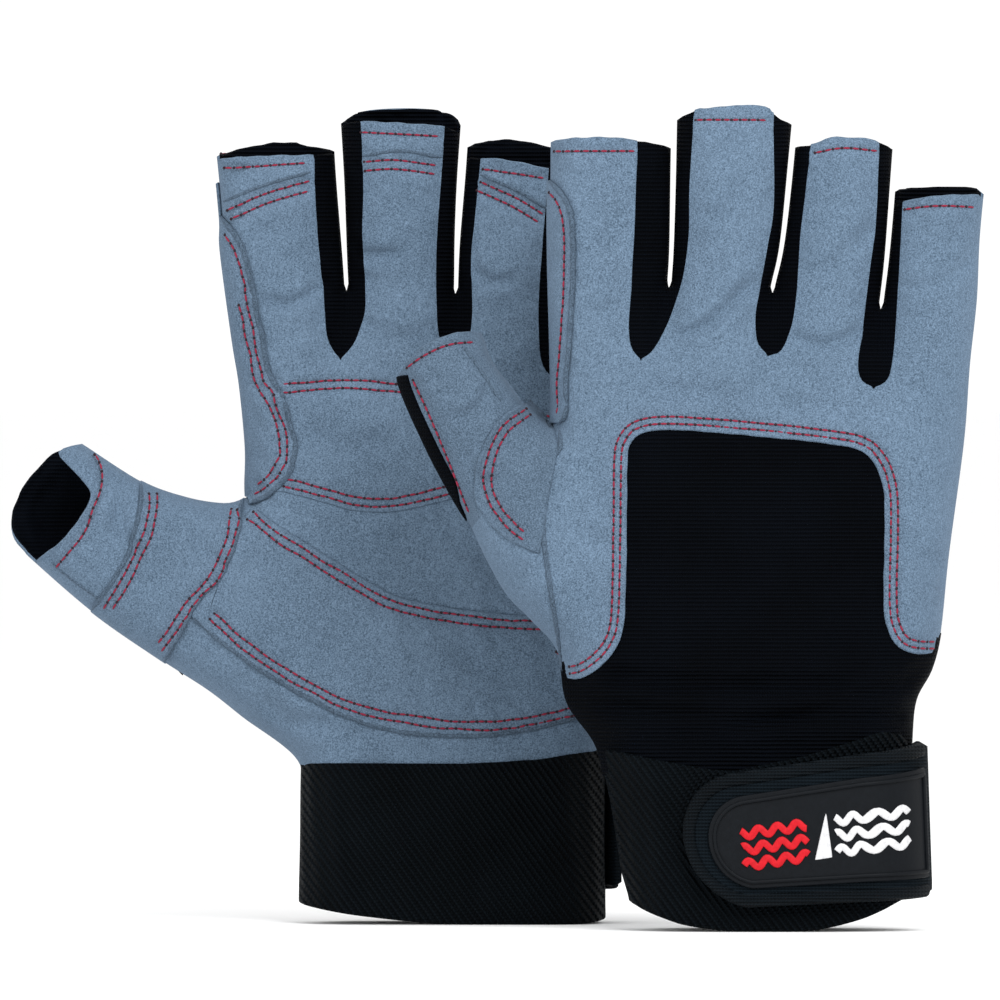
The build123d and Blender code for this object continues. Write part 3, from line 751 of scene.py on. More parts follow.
def shell(plan, faces, place, thick, mats, open_edge=None, round_out=0.35):
    """Gives a triangulated plan its thickness: an outer skin, a lining and a rounded edge between them."""
    outer, n = place(plan, 0.0)
    inner = outer - n * thick
    count = len(plan)
    a, b, c = (outer[[f[k] for f in faces]] for k in range(3))
    flip = (np.cross(b - a, c - a) * n[[f[0] for f in faces]]).sum() < 0
    tris = [tuple(reversed(f)) if flip else tuple(f) for f in faces]
    edge = {}
    for f in tris:
        for i in range(3):
            key = (f[i], f[(i + 1) % 3])
            if (key[1], key[0]) in edge:
                del edge[key[1], key[0]]
            else:
                edge[key] = True
    rim = [e for e in edge if open_edge is None or not (open_edge(plan[e[0]]) and open_edge(plan[e[1]]))]
    ring = sorted({v for e in rim for v in e})
    out = np.zeros((count, 3))
    for i, j in rim:
        d = np.cross(outer[j] - outer[i], n[i])
        d /= max(np.linalg.norm(d), 1e-9)
        out[i] += d
        out[j] += d
    length = np.linalg.norm(out[ring], axis=1)[:, None]
    out[ring] /= np.maximum(length, 1e-9)
    middle = (outer + inner)[ring] / 2 + out[ring] * thick * round_out
    at = {v: 2 * count + k for k, v in enumerate(ring)}
    co = np.vstack([outer, inner, middle])
    normals = np.vstack([n, -n, out[ring]])
    polys = tris + [tuple(v + count for v in reversed(f)) for f in tris]
    slots = [0] * len(tris) + [1] * len(tris)
    for i, j in rim:
        polys.append((j, i, at[i], at[j]))
        polys.append((at[j], at[i], i + count, j + count))
        slots += [0, 1 if mats[0] != mats[1] else 0]
    uv = np.vstack([plan, plan, plan[ring]]) * MM
    return co, polys, normals, slots, uv


def sheet(glove, name, outline, face, thick, mats, offset=0.0, step=None, cut=None, round_out=0.35):
    """A cloth piece over part of one face of the glove."""
    step = step or glove.sizes.step / MM
    # x is measured along the surface while the outline is filled, so that rolled edges get their share
    flat, back = unroll(glove, loop_of(outline, step))
    plan, faces = fill(flat, step)
    plan = back(plan)

    def place(p, o):
        return glove.surface(p, face, (offset(p) if callable(offset) else offset) + o)
    co, polys, normals, slots, uv = shell(plan, faces, place, thick, mats, cut, round_out)
    return make(f"{glove.side}_{name}", glove.world(co), orient(polys, glove), glove.turned(normals), mats,
                slots, uv)


def orient(polys, glove):
    return [tuple(reversed(p)) for p in polys] if glove.data["facing"] < 0 else polys


def unroll(glove, poly):
    """Maps plan x to length along the surface row by row, and back."""
    zs = np.arange(poly[:, 1].min() - 2, poly[:, 1].max() + 3, 2.0)
    xs = np.arange(poly[:, 0].min() - 2, poly[:, 0].max() + 3, 0.5)
    gx, gz = np.meshgrid(xs, zs)
    p = np.stack([gx.ravel(), gz.ravel()], 1)
    depth = glove.depth(p, np.maximum(glove.rough(p), 0)).reshape(gx.shape)
    t = 1 - np.minimum(depth / (glove.sizes.roll / MM), 1)
    y = 10 * np.sqrt(np.maximum(1 - t * t, 0))
    run = np.concatenate([np.zeros((len(zs), 1)), np.cumsum(np.hypot(0.5, np.diff(y, axis=1)), axis=1)],
                         axis=1)
    run -= run[:, [len(xs) // 2]]
    # Rows are smoothed so that the map has no jumps between a finger row and a hand row.
    for _ in range(3):
        run = (np.vstack([run[:1], run[:-1]]) + run * 2 + np.vstack([run[1:], run[-1:]])) / 4

    def forward(p):
        i = np.clip((p[:, 1] - zs[0]) / 2.0, 0, len(zs) - 1.001)
        k, f = i.astype(int), i % 1
        j = np.clip((p[:, 0] - xs[0]) / 0.5, 0, len(xs) - 1.001)
        m, g = j.astype(int), j % 1
        r = (run[k, m] * (1 - f) + run[k + 1, m] * f) * (1 - g) + (run[k, m + 1] * (1 - f)
                                                                   + run[k + 1, m + 1] * f) * g
        return np.stack([r, p[:, 1]], 1)

    def backward(p):
        i = np.clip((p[:, 1] - zs[0]) / 2.0, 0, len(zs) - 1.001)
        k, f = i.astype(int), i % 1
        x = [np.interp(v, run[a] * (1 - w) + run[a + 1] * w, xs) for v, a, w in zip(p[:, 0], k, f)]
        return np.stack([x, p[:, 1]], 1)
    return forward(poly), backward


def lattice(name, rows, normals=None, closed=(False, False), mats=(), uv=None, flip=False):
    """A mesh over a grid of points: rows x columns."""
    r, c = rows.shape[:2]
    polys = []
    for i in range(r if closed[0] else r - 1):
        for j in range(c if closed[1] else c - 1):
            k = (i + 1) % r
            m = (j + 1) % c
            q = (i * c + j, i * c + m, k * c + m, k * c + j)
            polys.append(tuple(reversed(q)) if flip else q)
    return make(name, rows.reshape(-1, 3), polys, normals, mats, None, uv)


def facing_out(obj, close=False):
    """Turns a piece's faces outwards, with its open ends closed first if asked."""
    bm = bmesh.new()
    bm.from_mesh(obj.data)
    if close:
        bmesh.ops.holes_fill(bm, edges=[e for e in bm.edges if e.is_boundary], sides=0)
    bmesh.ops.recalc_face_normals(bm, faces=bm.faces)
    bm.to_mesh(obj.data)
    bm.free()
    return obj


def cord(g, name, face, curve, radius, lift, mat, body=None):
    """A folded edge: a soft round welt along a plan curve, cut where it goes from one body to the next."""
    curve = g.within(curve, 0.1)
    line = resample(curve, 0.8)
    owners = [body or g.owner(p) for p in line]
    start = 0
    for i in range(1, len(line) + 1):
        if i < len(line) and owners[i] == owners[start]:
            continue
        piece = line[start:min(i + 1, len(line))]
        if len(piece) > 3:
            co, n = g.surface(piece, face, lift)
            t = np.gradient(co, axis=0)
            t /= np.linalg.norm(t, axis=1)[:, None]
            across = np.cross(n, t)
            size = radius * np.minimum(1, 0.35 + 0.3
                                       * np.minimum(np.arange(len(co)), np.arange(len(co))[::-1]))
            size = size * (1 + 0.12 * np.sin(np.arange(len(co)) * 1.9))
            ring = np.linspace(0, 2 * math.pi, 9)[:-1]
            rows = np.stack([co + (across * math.cos(a) * 1.25 + n * math.sin(a)) * size[:, None]
                             for a in ring], 1)
            obj = lattice(f"{g.side}_{name}_{owners[start]}",
                          g.world(rows.reshape(-1, 3)).reshape(rows.shape),
                          closed=(False, True), mats=[mat])
            facing_out(obj, close=True)
            g.attach(obj, owners[start], "suede_patch")
        start = i


# ---- the cuff's oval -----------------------------------------------------------------------------

class Cuff:
    """The oval the cuff and strap follow. s runs along it: 0 at the middle of the back, + to the little
    finger."""

    def __init__(self, glove):
        self.glove = glove
        a = np.linspace(0, math.pi, 121)
        half, thick, roll = 36.4, 18.0, 13.0
        end = np.stack([half - roll + roll * np.sin(a), thick * np.cos(a)], 1)
        loop = np.vstack([[(0, thick)], end, [(0, -thick)], -end, [(0, thick)]])
        self.loop = resample(loop, 0.5)
        step = np.hypot(*np.diff(self.loop, axis=0).T)
        self.run = np.concatenate([[0], np.cumsum(step)])
        self.length = self.run[-1]

    def at(self, s, z, offset):
        """Places and normals along the oval, in the glove's frame."""
        s = np.asarray(s, float) % self.length
        x, y = (np.interp(s, self.run, self.loop[:, k]) for k in (0, 1))
        e = 0.6
        ahead = np.stack([np.interp((s + e) % self.length, self.run, self.loop[:, k]) for k in (0, 1)], 1)
        behind = np.stack([np.interp((s - e) % self.length, self.run, self.loop[:, k]) for k in (0, 1)], 1)
        t = ahead - behind
        t /= np.hypot(*t.T)[:, None]
        n = np.stack([-t[:, 1], t[:, 0]], 1) * -1
        n = np.where(((n * np.stack([x, y], 1)).sum(1) < 0)[:, None], -n, n)
        d = self.glove.data
        z = np.asarray(z, float)
        low = np.interp(z, *np.array(d["cuff_low"], float).T)
        high = np.interp(z, *np.array(d["cuff_high"], float).T)
        u = (x + 36.4) / 72.8
        squeeze = low + (high - low) * u - x
        co = np.stack([x + squeeze + n[:, 0] * offset, y + n[:, 1] * offset, z], 1)
        return co, np.stack([n[:, 0], n[:, 1], np.zeros(len(n))], 1)


# ---- materials -----------------------------------------------------------------------------------

class Nodes:
    """Small helper that adds and links shader nodes."""

    def __init__(self, tree):
        self.tree = tree

    def add(self, kind, inputs=(), **settings):
        node = self.tree.nodes.new(kind)
        for key, value in settings.items():
            setattr(node, key, value)
        for key, value in dict(inputs).items():
            if isinstance(value, bpy.types.NodeSocket):
                self.tree.links.new(value, node.inputs[key])
            else:
                node.inputs[key].default_value = value
        return node

    def math(self, operation, a, b=0.0, c=None):
        inputs = {0: a, 1: b}
        if c is not None:
            inputs[2] = c
        return self.add("ShaderNodeMath", inputs, operation=operation).outputs[0]


def group(name, outputs):
    """A new shader group that reads Object coordinates, with the named value outputs."""
    tree = bpy.data.node_groups.new(name, "ShaderNodeTree")
    for label, kind in outputs:
        tree.interface.new_socket(name=label, in_out="OUTPUT", socket_type=kind)
    n = Nodes(tree)
    coords = n.add("ShaderNodeTexCoord").outputs["Object"]
    end = tree.nodes.new("NodeGroupOutput")
    return tree, n, coords, end


def nap_group():
    """Brushed nap: Mottle is the cloudy colour, Fibre the fine height."""
    tree, n, coords, end = group("Nap", [("Mottle", "NodeSocketFloat"), ("Fibre", "NodeSocketFloat")])
    cloud = n.add("ShaderNodeTexNoise", {"Vector": coords, "Scale": 46.0, "Detail": 4.0, "Roughness": 0.6})
    grain = n.add("ShaderNodeTexNoise", {"Vector": coords, "Scale": 2900.0, "Detail": 2.0,
                                         "Roughness": 0.7})
    streak_map = n.add("ShaderNodeMapping", {"Vector": coords, "Rotation": (0.0, 0.35, 0.0),
                                             "Scale": (1500.0, 1500.0, 520.0)})
    streak = n.add("ShaderNodeTexNoise", {"Vector": streak_map.outputs[0], "Scale": 1.0, "Detail": 3.0,
                                          "Roughness": 0.7})
    a = n.math("MULTIPLY_ADD", cloud.outputs["Fac"], 0.4, n.math("MULTIPLY", grain.outputs["Fac"], 2.0))
    b = n.math("MULTIPLY_ADD", streak.outputs["Fac"], 0.4, a)
    tree.links.new(n.math("MULTIPLY_ADD", b, 1.35, -1.39), end.inputs["Mottle"])
    tree.links.new(n.math("MULTIPLY_ADD", streak.outputs["Fac"], 0.6,
                          n.math("MULTIPLY", grain.outputs["Fac"], 0.8)),
                   end.inputs["Fibre"])
    return tree


def rib_group(name, scale, angle, fine):
    """Woven or knitted ribs: Height is the rib and its yarn, Tone a slow change of colour."""
    tree, n, coords, end = group(name, [("Height", "NodeSocketFloat"), ("Tone", "NodeSocketFloat")])
    wobble = n.add("ShaderNodeTexNoise", {"Vector": coords, "Scale": 60.0, "Detail": 2.0})
    axis = n.add("ShaderNodeSeparateXYZ", {0: coords})
    tilt = n.math("MULTIPLY_ADD", axis.outputs["X"], math.sin(angle), n.math("MULTIPLY", axis.outputs["Z"],
                                                                             math.cos(angle)))
    side = n.math("MULTIPLY_ADD", axis.outputs["X"], math.cos(angle), n.math("MULTIPLY", axis.outputs["Z"],
                                                                             -math.sin(angle)))
    phase = n.math("MULTIPLY_ADD", wobble.outputs["Fac"], 1.6, n.math("MULTIPLY", tilt, scale))
    rib = n.math("SINE", phase)
    yarn = n.math("SINE", n.math("MULTIPLY_ADD", rib, 1.2, n.math("MULTIPLY", side, fine)))
    both = n.math("MULTIPLY_ADD", yarn, 0.35, rib)
    fuzz = n.add("ShaderNodeTexNoise", {"Vector": coords, "Scale": 1600.0, "Detail": 2.0})
    tree.links.new(n.math("MULTIPLY_ADD", fuzz.outputs["Fac"], 0.8, both), end.inputs["Height"])
    tree.links.new(wobble.outputs["Fac"], end.inputs["Tone"])
    return tree


def material(name, build):
    m = bpy.data.materials.new(name)
    m.use_nodes = True
    m.node_tree.nodes.clear()
    n = Nodes(m.node_tree)
    shader = n.add("ShaderNodeBsdfPrincipled")
    n.add("ShaderNodeOutputMaterial", {"Surface": shader.outputs[0]})
    build(n, shader)
    return m


def suede_material(name, low, high, nap):
    def build(n, shader):
        g = n.add("ShaderNodeGroup", node_tree=nap)
        mix = n.add("ShaderNodeMix", {0: g.outputs["Mottle"], 6: (*low, 1), 7: (*high, 1)},
                    data_type="RGBA")
        # painted sheen: the colour is lifted towards a lighter tint where the surface turns away from the view
        rim = n.add("ShaderNodeLayerWeight", {"Blend": 0.32})
        lift = n.add("ShaderNodeMix", {0: n.math("MULTIPLY", rim.outputs["Facing"], 0.35),
                                       6: mix.outputs[2],
                                       7: (*[min(1, c * 1.1) for c in high], 1)}, data_type="RGBA")
        bump = n.add("ShaderNodeBump", {"Height": g.outputs["Fibre"], "Strength": 0.55, "Distance": 0.0005})
        n.tree.links.new(lift.outputs[2], shader.inputs["Base Color"])
        n.tree.links.new(bump.outputs[0], shader.inputs["Normal"])
        shader.inputs["Roughness"].default_value = 0.92
        shader.inputs["Specular IOR Level"].default_value = 0.08
        shader.inputs["Sheen Weight"].default_value = 0.06
        shader.inputs["Sheen Roughness"].default_value = 0.5
        shader.inputs["Sheen Tint"].default_value = (0.62, 0.76, 1.0, 1)
    return material(name, build)


def cloth_material(name, colour, ribs, strength, distance, rough=0.8, spec=0.03, sheen=0.0):
    def build(n, shader):
        g = n.add("ShaderNodeGroup", node_tree=ribs)
        top = n.math("MULTIPLY_ADD", g.outputs["Height"], 0.28, n.math("MULTIPLY", g.outputs["Tone"], 0.7))
        mix = n.add("ShaderNodeMix", {0: top, 6: (*[c * 0.45 for c in colour], 1),
                                      7: (*[c * 2.3 for c in colour], 1)},
                    data_type="RGBA")
        bump = n.add("ShaderNodeBump", {"Height": g.outputs["Height"], "Strength": strength,
                                        "Distance": distance})
        n.tree.links.new(mix.outputs[2], shader.inputs["Base Color"])
        n.tree.links.new(bump.outputs[0], shader.inputs["Normal"])
        shader.inputs["Roughness"].default_value = rough
        shader.inputs["Specular IOR Level"].default_value = spec
        shader.inputs["Sheen Weight"].default_value = sheen
        shader.inputs["Sheen Roughness"].default_value = 0.4
    return material(name, build)


def plain_material(name, colour, rough, scale, strength, sheen=0.0, spec=0.25):
    """A moulded or thread finish: fine noise in the colour, the roughness and the height."""
    def build(n, shader):
        coords = n.add("ShaderNodeTexCoord").outputs["Object"]
        noise = n.add("ShaderNodeTexNoise", {"Vector": coords, "Scale": scale, "Detail": 4.0,
                                             "Roughness": 0.6})
        mix = n.add("ShaderNodeMix", {0: noise.outputs["Fac"], 6: (*[c * 0.6 for c in colour], 1),
                                      7: (*[min(1, c * 1.4) for c in colour], 1)}, data_type="RGBA")
        bump = n.add("ShaderNodeBump", {"Height": noise.outputs["Fac"], "Strength": strength,
                                        "Distance": 0.0002})
        n.tree.links.new(mix.outputs[2], shader.inputs["Base Color"])
        n.tree.links.new(bump.outputs[0], shader.inputs["Normal"])
        n.tree.links.new(n.math("MULTIPLY_ADD", noise.outputs["Fac"], 0.2, rough - 0.1),
                         shader.inputs["Roughness"])
        shader.inputs["Sheen Weight"].default_value = sheen
        shader.inputs["Specular IOR Level"].default_value = spec
    return material(name, build)


def materials():
    """The pair's materials, made once."""
    if "Suede" in bpy.data.materials:
        return bpy.data.materials
    c = bpy.context.scene.glove_colours
    nap = nap_group()
    knit = rib_group("Knit ribs", 2 * math.pi / 0.00095, 0.0, 2 * math.pi / 0.0006)
    twill = rib_group("Twill", 2 * math.pi / 0.0014, 0.95, 2 * math.pi / 0.0009)
    weave = rib_group("Tape weave", 2 * math.pi / 0.0008, 0.0, 2 * math.pi / 0.0008)
    suede_material("Suede", tuple(c.suede_low), tuple(c.suede), nap)
    suede_material("Suede patch", tuple(v * 0.97 for v in c.suede_low), tuple(v * 0.97 for v in c.suede),
                   nap)
    cloth_material("Knit", tuple(c.knit), knit, 1.0, 0.0008, 0.8, 0.03)
    cloth_material("Lining", tuple(v * 0.8 for v in c.knit), knit, 0.6, 0.0004)
    cloth_material("Elastic", tuple(c.elastic), twill, 1.0, 0.0009, 0.7, 0.035)
    cloth_material("Strap", tuple(v * 1.3 for v in c.elastic), weave, 0.5, 0.0003)
    cloth_material("Binding", tuple(v * 1.1 for v in c.elastic), weave, 0.8, 0.0004, 0.65, 0.06)
    cloth_material("Loops", tuple(v * 1.5 for v in c.elastic), knit, 0.9, 0.0007, 0.95, 0.05, 0.02)
    # a darker copy of the suede for the welts along folds, seams and creases: painted shadow lines beside the
    # edges
    suede_material("Suede edge", tuple(v * 0.5 for v in c.suede_low), tuple(v * 0.66 for v in c.suede), nap)
    # a darker copy of the suede: painted shade for the back of the right thumb and its patch
    suede_material("Suede shade", tuple(v * 0.76 for v in c.suede_low), tuple(v * 0.78 for v in c.suede),
                   nap)
    plain_material("Hooks", tuple(v * 2 for v in c.elastic), 0.5, 2400.0, 1.0)
    plain_material("Rubber", tuple(c.rubber), 0.5, 900.0, 0.25, 0.0, 0.07)
    plain_material("Thread", tuple(c.thread), 0.7, 3000.0, 0.5, 0.05, 0.1)
    # near-black beads at the needle holes: painted shade of the holes
    plain_material("Holes", (0.02, 0.008, 0.012), 0.9, 3000.0, 0.3)
    plain_material("White print", (0.5, 0.5, 0.51), 0.45, 900.0, 0.1)
    plain_material("Red print", (0.42, 0.008, 0.014), 0.45, 900.0, 0.1, 0.0, 0.1)
    return bpy.data.materials


GLOVE_CACHE = {}


def gloves():
    """Both gloves' plans, worked out once."""
    if not GLOVE_CACHE:
        for side in GLOVES:
            GLOVE_CACHE[side] = Glove(side, bpy.context.scene.glove_sizes)
    return list(GLOVE_CACHE.values())


def at_cut(p):
    """Where a finger's piece is left open towards the hand."""
    return p[1] < CUT + 0.05


def under_cut(p):
    """Where a hand's piece is left open towards the fingers."""
    return p[1] > CUT - 0.05


# ---- operators -----------------------------------------------------------------------------------

class GLOVE_OT_hands(bpy.types.Operator):
    """Palm, back frame and stretch-knit insert of both gloves."""

    bl_idname = "glove.hands"
    bl_label = "Hands"

    def execute(self, context):
        m = materials()
        skin = context.scene.glove_sizes.skin / MM
        for g in gloves():
            def shut(p):
                return under_cut(p) or g.by_thumb(p)
            palm = sheet(g, "palm_skin", g.hand_outline("palm"), "palm", skin, [m["Suede"], m["Lining"]],
                         cut=shut)
            g.attach(palm, "hand", "suede", "palm_panel")
            low, cut, up, *tops, down = g.hand_outline("back")
            edge = g.within(g.place("back", smooth(WINDOW)), 0.05)
            left = part(low, lambda p: p[:, 1] - edge[0, 1])
            right = part(down, lambda p: p[:, 1] - edge[-1, 1])
            frame = sheet(g, "back_frame", [left, cut, up, *tops, right, edge[::-1]], "back", 1.0,
                          [m["Suede"], m["Suede"]], cut=shut)
            g.attach(frame, "hand", "suede", "back_panel")
            # the knit reaches a few millimetres under the suede round it
            inner = g.within(shift(edge, UNDER), 1.2)
            low = part(low, lambda p: inner[0, 1] - p[:, 1])
            down = part(down, lambda p: inner[-1, 1] - p[:, 1])

            def lift(p):
                rise = -0.7 + 1.25 * ease((59 - p[:, 1]) / 7) - 1.3 * ease((49 - p[:, 1]) / 6)
                rim = -0.3 if g.side == "left" else 0.2
                return rim + (rise - rim) * ease(g.margin(p)[0] / 3)
            knit = sheet(g, "back_insert", [low, inner, down], "back", skin, [m["Knit"], m["Lining"]],
                         offset=lift)
            g.attach(knit, "hand", "stretch_knit", "back_knit")
            fold = part(g.place("back", smooth(SIDE_FOLD)), lambda p: g.data["crotch"][1] - 1 - p[:, 1])
            # the side fold's welt is in the darker suede: a painted shadow line
            cord(g, "side_fold", "back", fold, 0.5, 0.0, m["Suede edge"])
            self.webs(g, m)
        return {"FINISHED"}

    def webs(self, g, m):
        """The strip of knit across the bottom of each gap between two fingers."""
        rows = []
        for k, slit in enumerate(g.slits):
            tip = (g.tips["palm", k] + g.tips["back", k]) / 2
            line = resample(np.array([[tip[0], CUT - 2], [slit[0, 0], slit[0, 1] - 1]]), 1.5)
            deep = np.maximum(g.margin(line)[0], 0)
            front = g.height(line, "palm", deep) + 1.2
            back = g.height(line, "back", deep) - 1.2
            back = np.maximum(back, front + 0.3)
            t = np.linspace(0, 1, 9)
            for way in (-0.25, 0.25):
                y = front[:, None] + (back - front)[:, None] * t
                rows.append(np.stack([np.repeat(line[:, :1] + way, 9, 1), y, np.repeat(line[:, 1:], 9, 1)],
                                     2))
        bm = bmesh.new()
        for a in rows:
            obj = lattice("strip", g.world(a.reshape(-1, 3)).reshape(a.shape))
            bm.from_mesh(obj.data)
            bpy.data.objects.remove(obj)
        obj = make(f"{g.side}_webs", [v.co for v in bm.verts],
                   [[v.index for v in f.verts] for f in bm.faces],
                   None, [m["Knit"]])
        bm.free()
        g.attach(obj, "hand", "stretch_knit", "web_gussets")


class GLOVE_OT_fingers(bpy.types.Operator):
    """Suede faces and stretch gussets of the finger stalls."""

    bl_idname = "glove.fingers"
    bl_label = "Finger stalls"

    def execute(self, context):
        m = materials()
        skin = context.scene.glove_sizes.skin / MM
        for g in gloves():
            for k, name in enumerate(FINGERS):
                for face, node in (("palm", "front"), ("back", "back")):
                    hem = g.data[f"{face}_hems"][k]
                    left, right = g.finger_curves(face, name)
                    outline = g.column(left, right, hem, CUT)
                    obj = sheet(g, f"{name}_{node}_skin", outline, face, skin, [m["Suede"], m["Lining"]],
                                cut=at_cut,
                                offset=g.layered if face == "palm" else 0.0)
                    g.attach(obj, name, "suede", f"{name}_{node}")
                self.gussets(g, k, name, m, skin)
        return {"FINISHED"}

    def gussets(self, g, k, name, m, skin):
        """The ribbed strips along the sides that face another finger, joined round the side."""
        first = True
        for web, side, branch in ((k, -1, 0), (k - 1, 1, 1)):
            if not 0 <= web <= 2:
                continue
            for face in FACES:
                edge = g.vee(face, web, branch)
                edge = shift(edge, -1.0)
                slit = g.slit_line(face, web, side)
                edge = edge[::-1] if branch == 0 else edge
                left, right = (edge, slit) if side < 0 else (slit, edge)
                hem = [(x, z - 0.2) for x, z in g.data[f"{face}_hems"][k]]
                outline = g.column(left, right, hem, 100)
                tag = {(-1, "palm"): "ulnar_front", (-1, "back"): "ulnar_back",
                       (1, "palm"): "radial_front", (1, "back"): "radial_back"}[side, face]
                obj = sheet(g, f"{name}_gusset_{tag}", outline, face, skin * 0.8, [m["Knit"], m["Lining"]],
                            offset=-0.35, step=1.0)
                nodes = [f"{name}_gussets"] if first else []
                first = False
                g.attach(obj, name, "stretch_knit", *nodes)


class GLOVE_OT_thumbs(bpy.types.Operator):
    """Suede faces and gusset of the thumb stalls."""

    bl_idname = "glove.thumbs"
    bl_label = "Thumb stalls"

    def execute(self, context):
        m = materials()
        skin = context.scene.glove_sizes.skin / MM
        for g in gloves():
            for face, node in (("palm", "front"), ("back", "back")):
                # the right thumb's back gets the darker suede: painted shade
                suede = m["Suede shade"] if (g.side, face) == ("right", "back") else m["Suede"]
                obj = sheet(g, f"thumb_{node}_skin", g.thumb_outline(face), face, skin,
                            [suede, m["Lining"]],
                            cut=g.by_thumb)
                g.attach(obj, "thumb", "suede", f"thumb_{node}")
            low = part(g.curves["low"], lambda p: g.thumb_side(p) - 60)
            mouth = smooth(g.data["back_mouth"])
            low = low[:closest(low, mouth[0])]
            wide, clear = (2.4, 0.0) if g.side == "right" else (7.0, 1.8)
            taper = ease(np.linspace(0, 1, len(low)) * 3)[:, None]
            inner = low + (shift(low, -wide - clear) - low) * taper
            outer = shift(low, -clear)
            obj = sheet(g, "thumb_side_strip", [outer, inner[::-1]], "back", 0.7, [m["Knit"], m["Lining"]],
                        offset=0.35, step=0.9)
            g.attach(obj, "thumb", "stretch_knit", "thumb_gusset")
        return {"FINISHED"}


